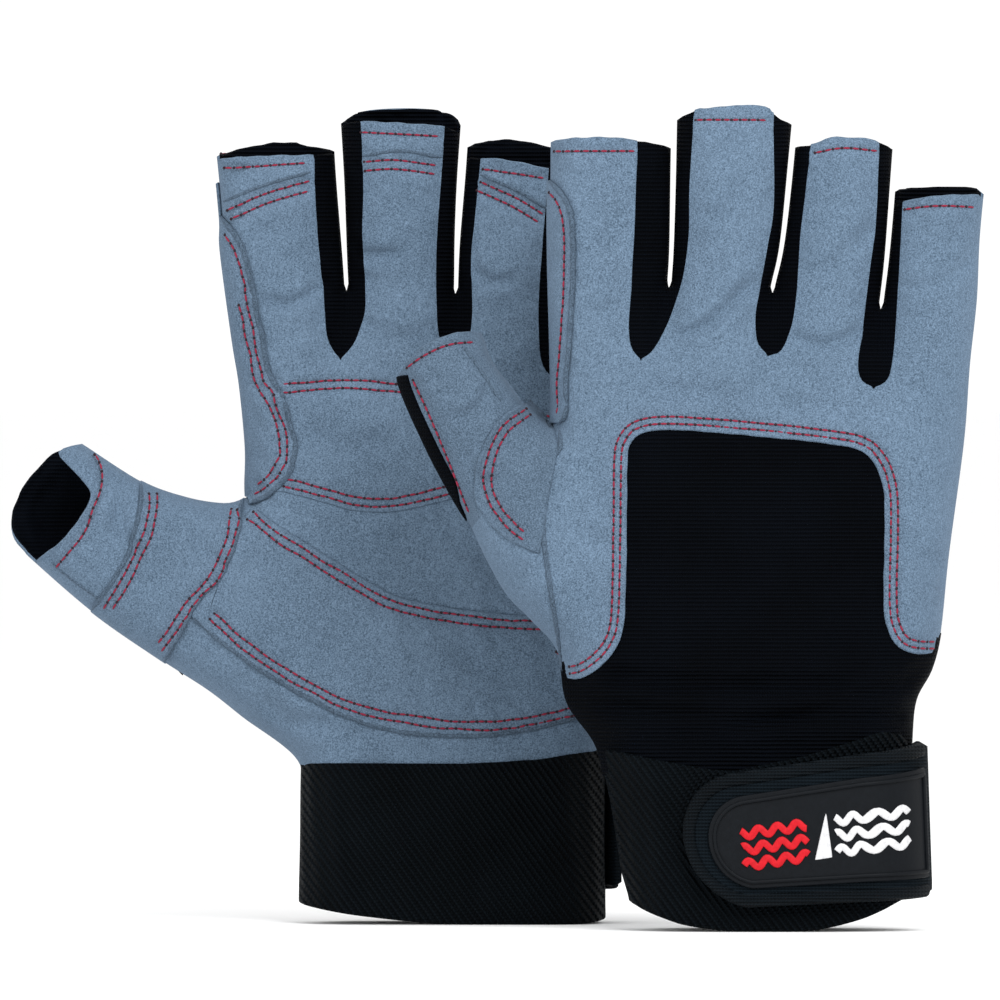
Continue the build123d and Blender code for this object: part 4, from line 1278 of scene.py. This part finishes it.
class GLOVE_OT_patches(bpy.types.Operator):
    """Second layers of suede sewn on the palm and round the index finger and thumb."""

    bl_idname = "glove.patches"
    bl_label = "Palm patches"

    def execute(self, context):
        m = materials()
        thick = context.scene.glove_sizes.patch / MM
        mats = [m["Suede patch"], m["Suede patch"]]
        for g in gloves():
            *_, down = g.hand_outline("palm")
            for face, curve, nodes in (("palm", SADDLE, ["index_patch"]), ("back", SADDLE_BACK, [])):
                saddle = g.within(g.place(face, smooth(curve)), 0.02)
                lower = part(saddle, lambda p: CUT - p[:, 1])
                upper = part(saddle, lambda p: p[:, 1] - CUT)
                outer = part(g.curves["index_out"],
                             lambda p: np.minimum(CUT - p[:, 1], p[:, 1] - lower[-1, 1]))
                side = part(g.curves["index_out"],
                            lambda p: np.minimum(p[:, 1] - CUT, upper[0, 1] - p[:, 1]))
                obj = sheet(g, f"index_saddle_{face}", [outer, np.array([outer[-1], lower[0]]), lower],
                            face, thick,
                            mats, offset=thick, cut=under_cut)
                g.attach(obj, "hand", "suede_patch", *nodes)
                obj = sheet(g, f"index_saddle_{face}_finger",
                            [side, upper, np.array([upper[-1], side[0]])], face,
                            thick, mats, offset=thick, cut=at_cut)
                g.attach(obj, "index", "suede_patch")
                # the saddle's edge welt is in the darker suede: a painted shadow line
                cord(g, f"saddle_{face}_edge", face, saddle, 0.55, thick - 0.35, m["Suede edge"])
            # the welts under the finger hems are in the darker suede: painted shadow lines
            for k, c in enumerate(([(-54, 170.6), (-44.6, 174.4), (-33.4, 177.6)],
                                   [(-21, 181.4), (-12, 182.6),
                                   (-2.4, 181)], [(6.8, 177), (15, 173.4), (22.8, 168.8)],
                                   [(30.6, 161.8), (40, 162.8), (48.8, 161.8)])):
                cord(g, f"hem_fold_{k}", "palm", g.place("palm", smooth(c)), 0.3, 0.0, m["Suede edge"])
            self.upper_palm(g, mats, down)
            self.heel(g, mats, thick)
            self.thumb_layers(g, m, mats)
        return {"FINISHED"}

    def upper_palm(self, g, mats, down):
        """The layer over the upper palm, below the fingers."""
        bottom = g.within(g.place("palm", shift(smooth(SEAM_B), -3.0)), 0.05)
        top = g.place("palm", shift(smooth(SEAM_A), 1.0))
        top = part(top, lambda p: np.minimum(CUT - p[:, 1], g.margin(p)[0] - 0.05))
        saddle = g.place("palm", shift(smooth(SADDLE), -1.0))
        saddle = part(saddle, lambda p: np.minimum(CUT - p[:, 1], p[:, 1] - bottom[0, 1]))
        top, bottom = (g.within(c, INSET) for c in (top, bottom))
        right = part(shift(down, -INSET), lambda p: np.minimum(top[-1, 1] - p[:, 1],
                                                               p[:, 1] - bottom[-1, 1]))
        obj = sheet(g, "upper_palm_layer", [np.array([saddle[0], top[0]]), top, right, bottom[::-1],
                                            saddle[::-1]],
                    "palm", 0.5, mats, offset=0.45, cut=under_cut)
        g.attach(obj, "hand", "suede_patch", "palm_patch")

    def heel(self, g, mats, thick):
        """The layer over the heel of the hand; on the thumb's side it goes on to the thumb's seam."""
        seam, heel = (g.within(g.place("palm", c), INSET)
                      for c in (shift(smooth(SEAM_C), 1.6), smooth(HEEL_EDGE)))
        right = part(shift(g.curves["outer"], -INSET),
                     lambda p: np.minimum(p[:, 1] - heel[-1, 1], seam[-1, 1] - p[:, 1]))
        fold = smooth(THUMB_FOLDS[g.side][1])
        for body, way in (("hand", -1), ("thumb", 1)):
            edge = part(heel, lambda p: g.thumb_side(p) * way)
            if body == "hand":
                rest = part(fold, lambda p: -g.thumb_side(p)) if g.side == "left" else seam[:1]
                outline = [np.array([edge[0], rest[-1]]), rest[::-1], np.array([rest[0], seam[0]]), seam,
                           right,
                           edge[::-1]]
            elif g.side == "left":
                rest = part(fold, lambda p: np.minimum.reduce([g.thumb_side(p), p[:, 1] - edge[0, 1],
                                                               g.margin(p)[0] - INSET]))
                outline = [edge[::-1], rest[::-1], np.array([rest[0], edge[-1]])]
            else:
                continue
            obj = sheet(g, f"heel_layer_{body}", outline, "palm", thick, mats, offset=thick * 0.9,
                        cut=lambda p: g.by_thumb(p, 8))
            g.attach(obj, body, "suede_patch", *(["heel_patch"] if body == "hand" else []))
        # the heel layer's edge welt is in the darker suede: a painted shadow line
        cord(g, "heel_edge", "palm", heel, 0.45, thick * 0.9 - 0.35, bpy.data.materials["Suede edge"])

    def thumb_layers(self, g, m, mats):
        """The band across the thumb's palm side and the patch on the back of its root."""
        first, second = (g.within(smooth(c), 0.05) for c in THUMB_FOLDS[g.side])
        ends = (first, second) if g.side == "left" else (first[::-1], second[::-1])
        top, low = g.curves["thumb_top"], g.curves["low"]
        a, b = (closest(top, c[0]) for c in ends)
        c, d = (closest(low, q[-1]) for q in ends[::-1])
        obj = sheet(g, "thumb_band", [top[a:b + 1], ends[1], low[c:d + 1], ends[0][::-1]], "palm", 0.9,
                    mats,
                    offset=g.band_lift)
        g.attach(obj, "thumb", "suede_patch")
        # the band's edge welts are in the darker suede: painted shadow lines
        for k, curve in enumerate(ends):
            curve = g.within(curve, 1.0)
            cord(g, f"thumb_band_edge_{k}", "palm", curve, 0.45, 0.5 + 0.5 * k, m["Suede edge"], "thumb")
        if g.side == "left":
            low = [(-94.6, 85.4), (-90, 81.6), (-83.6, 77), (-76, 71.4), (-69.6, 66.4)]
            # the crease is a welt in the darker suede: painted shade in the crease
            cord(g, "thumb_low_crease", "palm", smooth(low), 0.4, -0.1, m["Suede edge"], "thumb")
            return
        # the thumb's top seam welt is in the darker suede: a painted shadow line
        cord(g, "thumb_top_seam", "back", smooth([(-69.3, 137), (-65, 131), (-61.3, 125.3),
                                                  (-60.1, 123.6)]), 0.35, 0,
             m["Suede edge"], "thumb")
        fold = smooth(THUMB_PATCH)
        outer = part(fold, g.thumb_side)
        line = g.cut_line()
        # the thumb patch and its root are in the darker suede: painted shade
        obj = sheet(g, "thumb_patch", [outer[::-1], np.array([outer[0], line[0]]),
                                       np.array([line[0], outer[-1]])],
                    "back", 0.9, [m["Suede shade"]] * 2, offset=0.7,
                    cut=g.by_thumb)
        g.attach(obj, "thumb", "suede_patch")
        inner = part(fold, lambda p: -g.thumb_side(p))
        side = resample(np.array([inner[-1], [-49.4, 100], [-46.8, 113], line[0]]), 1.2)
        obj = sheet(g, "thumb_patch_root", [np.array([line[0], inner[0]]), inner, side], "back", 0.9,
                    [m["Suede shade"]] * 2, offset=0.7, cut=g.by_thumb)
        g.attach(obj, "hand", "suede_patch")
        # the patch's welt is in the darker suede too: painted shade
        cord(g, "thumb_patch_edge", "back", fold, 0.45, 0.4, m["Suede shade"])


class GLOVE_OT_stitches(bpy.types.Operator):
    """Red stitches along every sewn row, with near-black beads at their needle holes as painted shade."""

    bl_idname = "glove.stitches"
    bl_label = "Stitching"

    def execute(self, context):
        m = materials()
        sizes = context.scene.glove_sizes
        for g in gloves():
            parts = {}
            for face in FACES:
                for curve, offsets in g.rows[face]:
                    for o in offsets:
                        line = resample(shift(curve, o), sizes.pitch / MM / 2)
                        self.run(g, face, line, parts)
            for (face, owner), (caps, holes) in parts.items():
                bm = bmesh.new()
                for a, b in caps:
                    self.capsule(bm, a, b, sizes.thread)
                for v in bm.faces:
                    v.material_index = 0
                split = len(bm.faces)
                # a dark bead at each needle hole: painted shade
                for c in holes:
                    bmesh.ops.create_icosphere(bm, subdivisions=1, radius=sizes.thread * 1.55,
                                               matrix=Matrix.Translation(Vector(c)))
                bm.faces.ensure_lookup_table()
                for f in bm.faces[split:]:
                    f.material_index = 1
                for f in bm.faces:
                    f.smooth = True
                mesh = bpy.data.meshes.new("stitches")
                bm.to_mesh(mesh)
                bm.free()
                mesh.materials.append(m["Thread"])
                mesh.materials.append(m["Holes"])
                obj = bpy.data.objects.new(f"{g.side}_{owner}_{face}_stitches", mesh)
                context.scene.collection.objects.link(obj)
                g.attach(obj, owner, "suede")
        return {"FINISHED"}

    def run(self, g, face, line, parts):
        """Splits one row into stitches, each given to the body it lies on."""
        co, n = g.surface(line, face, self.layer(g, face, line))
        depth = g.margin(line)[0]
        co = g.world(co)
        n = g.turned(n)
        for i in range(0, len(line) - 2, 2):
            if depth[i:i + 3].min() < 0.5:
                continue
            owner = g.owner(line[i + 1])
            caps, holes = parts.setdefault((face, owner), ([], []))
            a, b, c = co[i], co[i + 1], co[i + 2]
            start = a + (b - a) * 0.5
            end = c + (b - c) * 0.5
            caps.append((start + n[i] * RAISED * MM, end + n[i + 2] * RAISED * MM))
            holes.append(a + n[i] * 0.00002)

    def layer(self, g, face, line):
        """How high the outermost layer lies above the base skin along a row, in millimetres."""
        patch = g.sizes.patch / MM
        top = np.zeros(len(line))

        def right_of(curve, reach=200.0):
            dist, side, _ = near(line, curve)
            return (side > 0) & (dist < reach)
        z = line[:, 1]
        if face == "back":
            saddle = g.place("back", smooth(SADDLE_BACK))
            top[right_of(saddle, 9) & (z < saddle[0, 1] - 0.5) & (z > saddle[-1, 1])] = patch
            if g.side == "right":
                top[right_of(smooth(THUMB_PATCH)[::-1],
                             14) & (z < 124) & (z > 88) & (line[:, 0] > -66)] = 0.7
            return top
        on_hand = g.thumb_side(line) < 0
        a, b, c = (g.place("palm", shift(smooth(q), d)) for q,
                   d in ((SEAM_A, 1.0), (SEAM_B, -3.0), (SEAM_C, 1.6)))
        heel = g.place("palm", smooth(HEEL_EDGE))
        first, second = (smooth(q) for q in THUMB_FOLDS[g.side])
        top[right_of(a) & ~right_of(b) & on_hand] = 0.45
        top[right_of(c) & ~right_of(heel)] = patch * 0.9
        if g.side == "left":
            band = right_of(second) & ~right_of(first) & (line[:, 0] < -49) & (z > 60)
        else:
            band = ~right_of(second) & right_of(first) & ~on_hand
        top[band] = g.band_lift(line)[band]
        saddle = g.place("palm", smooth(SADDLE))
        top[right_of(saddle, 9) & (z < saddle[0, 1] - 0.5) & (z > saddle[-1, 1] + 0.5)] = patch
        return top

    def capsule(self, bm, a, b, radius):
        """One stitch: a long bead from a to b."""
        a, b = Vector(a), Vector(b)
        d = b - a
        turn = d.to_track_quat("Z", "Y").to_matrix().to_4x4()
        place = Matrix.Translation((a + b) / 2) @ turn @ Matrix.Diagonal((1, 1,
                                                                          (d.length / 2 + radius) / radius,
                                                                          1))
        bmesh.ops.create_uvsphere(bm, u_segments=7, v_segments=5, radius=radius, matrix=place)


class GLOVE_OT_cuffs(bpy.types.Operator):
    """Elastic cuffs and the loop tape on them."""

    bl_idname = "glove.cuffs"
    bl_label = "Cuffs"

    def execute(self, context):
        m = materials()
        for g in gloves():
            cuff = Cuff(g)
            s = np.arange(0, cuff.length - 0.4, 0.8)
            base = cuff.at(s, np.full(len(s), 20.0), 0)[0]
            top = np.interp(base[:, 0], *np.array(g.data["cuff_top"], float).T)
            x = base[:, 0]
            foot = np.maximum(np.interp(x, *smooth(g.data["cuff_foot"]).T), 0)
            rows = []
            # outside from the hem up, over the top edge and down the inside
            outside = [(0, -0.9), (0.003, -0.35), (0.012, -0.05)] + [(t, 0.0)
                                                                     for t in np.linspace(0.03, 0.955, 30)]
            outside += [(0.97, 0.12), (0.985, 0.1), (0.996, -0.25), (1.0, -0.9)]
            inside_rows = [(0.99, -1.8), (0.97, -2.1)] + [(t, -2.2) for t in np.linspace(0.9, 0.05, 8)]
            inside_rows += [(0.012, -2.1), (0.0, -1.5)]
            for t, o in outside + inside_rows:
                z = foot + (top - foot) * t
                ripple = 0.18 * np.sin(s * 0.33 + t * 3) + 0.12 * np.sin(s * 0.9 - t * 5)
                co, n = cuff.at(s, z, 0)
                share = 0.3 + 0.7 * math.sin(math.pi * min(max(t, 0), 1))
                rows.append(co + n * (o + ripple * share)[:, None])
            rows = np.array(rows)
            obj = lattice(f"{g.side}_cuff", g.world(rows.reshape(-1, 3)).reshape(rows.shape),
                          closed=(True, True),
                          mats=[m["Elastic"]])
            facing_out(obj)
            g.attach(obj, "hand", "elastic_band", "cuff_band")
            pad = [(-15, 9), (20, 9), (20, 32), (-15, 32)]
            obj = strip(g, cuff, "loops", pad, 0.5, 0.02, [m["Loops"]] * 2)
            g.attach(obj, "hand", "loop_tape", "loop_tape")
        return {"FINISHED"}


def strip(g, cuff, name, outline, thick, offset, mats, step=1.4, round_out=0.3, curve=False):
    """A flat piece laid along the cuff's oval: outline in (s, z)."""
    poly = np.array(outline, float)
    if not curve:
        poly = np.vstack([resample(np.array([a, b], float), step)[:-1] for a,
                          b in zip(poly, np.roll(poly, -1, 0))])
    plan, faces = fill(poly, step)

    def place(p, o):
        co, n = cuff.at(p[:, 0], p[:, 1], offset + thick + o)
        return co, n
    co, polys, normals, slots, uv = shell(plan, faces, place, thick, mats, None, round_out)
    return make(f"{g.side}_{name}", g.world(co), orient(polys, g), g.turned(normals), mats, slots, uv)


def tab(left, top, bottom, slope_top, slope_bottom, end):
    """A strap shape in (s, z): a round nose on the left and two straight edges to the end."""
    middle, radius = (top + bottom) / 2, (top - bottom) / 2
    a = np.linspace(math.radians(100), math.radians(262), 24)
    nose = np.stack([left + radius + radius * np.cos(a), middle + radius * np.sin(a)], 1)
    up = np.array([[end, top + slope_top * (end - left - radius)], nose[0]])
    down = np.array([nose[-1], [end, bottom + slope_bottom * (end - left - radius)]])
    return np.vstack([resample(up, 1.3)[:-1], resample(nose, 1.3), resample(down, 1.3)[1:]])


def bead(g, cuff, name, line, width, height, offset, mats, closed=False, step=0.9):
    """A rounded tape or ridge along a line in (s, z), standing on the given offset."""
    line = resample(line, step)
    if closed:
        line = line[:-1]
    t = np.gradient(line, axis=0) if not closed else np.roll(line, -1, 0) - np.roll(line, 1, 0)
    t /= np.hypot(*t.T)[:, None]
    across = np.stack([-t[:, 1], t[:, 0]], 1)
    rows = []
    for a in np.linspace(0, 2 * math.pi, 13)[:-1]:
        c, s = math.cos(a), math.sin(a)
        u = width / 2 * math.copysign(abs(c) ** 0.7, c)
        v = height / 2 * math.copysign(abs(s) ** 0.7, s)
        p = line + across * u
        co, _ = cuff.at(p[:, 0], p[:, 1], offset + height / 2 + v)
        rows.append(co)
    rows = np.array(rows).transpose(1, 0, 2)
    obj = lattice(f"{g.side}_{name}", g.world(rows.reshape(-1, 3)).reshape(rows.shape),
                  closed=(closed, True),
                  mats=mats)
    return facing_out(obj, close=not closed)


class GLOVE_OT_straps(bpy.types.Operator):
    """Wrist straps with their binding, hook tape and moulded badge."""

    bl_idname = "glove.straps"
    bl_label = "Wrist straps"

    def execute(self, context):
        m = materials()
        z = context.scene.glove_sizes
        gap, thick, badge = z.strap_gap / MM, z.strap / MM, z.badge / MM
        for g in gloves():
            cuff = Cuff(g)
            end = 40.2    # length along the oval to the strap's fold
            shape = tab(-18.6, 35.6, 7.2, 0.15, 0.05, end)
            obj = strip(g, cuff, "strap_body", shape, thick, gap, [m["Strap"], m["Strap"]], curve=True)
            g.attach(obj, "strap", "strap_web", "strap")
            edge = tab(-18.6, 35.6, 7.2, 0.15, 0.05, end)
            obj = bead(g, cuff, "strap_tape", edge, 3.2, thick + 1.2, gap - 0.4, [m["Binding"]])
            g.attach(obj, "strap", "edge_binding", "strap_binding")
            obj = strip(g, cuff, "hooks", [(-11, 12), (19, 12), (19, 29), (-11, 29)], 0.45, gap - 0.45,
                        [m["Hooks"]] * 2)
            g.attach(obj, "strap", "hook_tape", "hook_tape")
            high = tab(-13.8, 31.6, 10.4, 0.15, 0.06, end - 1.5)
            obj = strip(g, cuff, "badge_plate", high, badge, gap + thick, [m["Rubber"]] * 2, curve=True)
            g.attach(obj, "strap", "badge_rubber", "badge")
            inner = tab(-12.6, 30.4, 11.6, 0.15, 0.06, end - 2.6)
            inner = np.vstack([inner, inner[:1]])
            obj = bead(g, cuff, "badge_rim", inner, 0.9, 0.9, gap + thick + badge - 0.3, [m["Rubber"]],
                       closed=True)
            g.attach(obj, "strap", "badge_rubber")
            self.mark(g, cuff, m, gap + thick + badge)
            root = [(end + 0.3, 9.2), (47, 9.6), (47, 43), (end + 0.3, 43.2)]
            obj = strip(g, cuff, "strap_end", root, gap + thick, 0.0, [m["Strap"]] * 2)
            g.attach(obj, "hand", "strap_web", "strap_root")
            # the webbing at the strap's fold, baked where it stands
            fold = [(end - 1.7, 10.4), (end + 1.3, 10.5), (end + 1.3, 42.2), (end - 1.7, 41.2)]
            obj = strip(g, cuff, "strap_bend", fold, thick - 0.5, gap + 0.25, [m["Strap"]] * 2, step=0.5)
            ends = [g.world(cuff.at([end + t], [26.0], gap + thick)[0])[0] for t in (1.0, -1.4)]
            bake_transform(obj)
        return {"FINISHED"}

    def mark(self, g, cuff, m, offset):
        """A plain raised pattern: waves on both sides of a small sail."""
        t = np.linspace(0, 1, 90)
        for k, (start, length, colour) in enumerate(((-6, 16, "Red print"), (17, 15, "White print"))):
            for row in range(3):
                s = start + length * t
                rise = 0.14 * (s - 5)
                z = 17.2 + row * 3.6 + rise + 0.9 * np.sin((s - start) * 1.35 + row)
                obj = bead(g, cuff, f"badge_wave_{k}_{row}", np.stack([s, z], 1), 1.7, 0.6, offset - 0.15,
                           [m[colour]], step=0.4)
                g.attach(obj, "strap", "badge_rubber")
        sail = np.array([(11.6, 17.0), (15.6, 17.6), (14.9, 27.6)])
        obj = strip(g, cuff, "badge_sail", sail, 0.45, offset - 0.1, [m["White print"]] * 2, step=0.8)
        g.attach(obj, "strap", "badge_rubber")


class GLOVE_OT_stage(bpy.types.Operator):
    """Floor, soft light and the camera."""

    bl_idname = "glove.stage"
    bl_label = "Stage"

    def execute(self, context):
        scene = context.scene
        bm = bmesh.new()
        bmesh.ops.create_grid(bm, x_segments=2, y_segments=2, size=40.0)
        mesh = bpy.data.meshes.new("floor")
        bm.to_mesh(mesh)
        bm.free()
        floor = bpy.data.objects.new("floor", mesh)
        scene.collection.objects.link(floor)

        def pale(n, shader):
            coords = n.add("ShaderNodeTexCoord").outputs["Object"]
            noise = n.add("ShaderNodeTexNoise", {"Vector": coords, "Scale": 9.0, "Detail": 3.0})
            mix = n.add("ShaderNodeMix", {0: noise.outputs["Fac"], 6: (0.93, 0.93, 0.93, 1),
                                          7: (0.95, 0.95, 0.95, 1)},
                        data_type="RGBA")
            n.tree.links.new(mix.outputs[2], shader.inputs["Base Color"])
            shader.inputs["Roughness"].default_value = 0.85
        mesh.materials.append(material("Floor", pale))
        world = bpy.data.worlds.new("Studio")
        world.use_nodes = True
        world.node_tree.nodes["Background"].inputs["Color"].default_value = (1, 1, 1, 1)
        world.node_tree.nodes["Background"].inputs["Strength"].default_value = 1.06
        scene.world = world
        for name, place, size, power in (("key", (0.5, -1.3, 1.1), 0.9, 26),
                                         ("fill", (-1.2, -1.5, 0.7), 1.2, 11)):
            light = bpy.data.lights.new(name, "AREA")
            light.energy = power
            light.size = size
            obj = bpy.data.objects.new(name, light)
            obj.location = place
            obj.rotation_euler = (Vector((0, 0, 0.1)) - Vector(place)).to_track_quat("-Z", "Y").to_euler()
            scene.collection.objects.link(obj)
        lens = bpy.data.cameras.new("camera")
        lens.lens = 800
        lens.sensor_width = 36
        lens.clip_end = 50
        camera = bpy.data.objects.new("camera", lens)
        target = Vector((0.0, 0.0, 0.1003))
        distance = 0.2352 * 800 / 36
        tilt = math.radians(0.4)
        camera.location = target + Vector((0, -math.cos(tilt), math.sin(tilt))) * distance
        camera.rotation_euler = (target - camera.location).to_track_quat("-Z", "Y").to_euler()
        scene.collection.objects.link(camera)
        scene.camera = camera
        scene.view_settings.view_transform = "Standard"
        return {"FINISHED"}


class GLOVE_PT_panel(bpy.types.Panel):
    """Sidebar panel with the sizes, the colours and the operators."""

    bl_idname = "GLOVE_PT_panel"
    bl_label = "Sailing gloves"
    bl_space_type = "VIEW_3D"
    bl_region_type = "UI"
    bl_category = "Gloves"

    def draw(self, context):
        for owner in (context.scene.glove_sizes, context.scene.glove_colours):
            box = self.layout.box()
            for key in owner.bl_rna.properties.keys():
                if key not in ("rna_type", "name"):
                    box.prop(owner, key)
        for op in STEPS:
            self.layout.operator(f"glove.{op}")


STEPS = ("hands", "fingers", "thumbs", "patches", "stitches", "cuffs", "straps", "stage")
CLASSES = (GloveSizes, GloveColours, GLOVE_OT_hands, GLOVE_OT_fingers, GLOVE_OT_thumbs, GLOVE_OT_patches,
           GLOVE_OT_stitches, GLOVE_OT_cuffs, GLOVE_OT_straps, GLOVE_OT_stage, GLOVE_PT_panel)


def register():
    for c in CLASSES:
        bpy.utils.register_class(c)
    bpy.types.Scene.glove_sizes = bpy.props.PointerProperty(type=GloveSizes)
    bpy.types.Scene.glove_colours = bpy.props.PointerProperty(type=GloveColours)


def unregister():
    del bpy.types.Scene.glove_colours
    del bpy.types.Scene.glove_sizes
    for c in reversed(CLASSES):
        bpy.utils.unregister_class(c)


def main():
    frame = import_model()
    register()
    for step in STEPS:
        if getattr(bpy.ops.glove, step)() != {"FINISHED"}:
            raise RuntimeError(f"{step} did not finish")
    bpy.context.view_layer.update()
    return frame


if __name__ == "__main__":
    main()
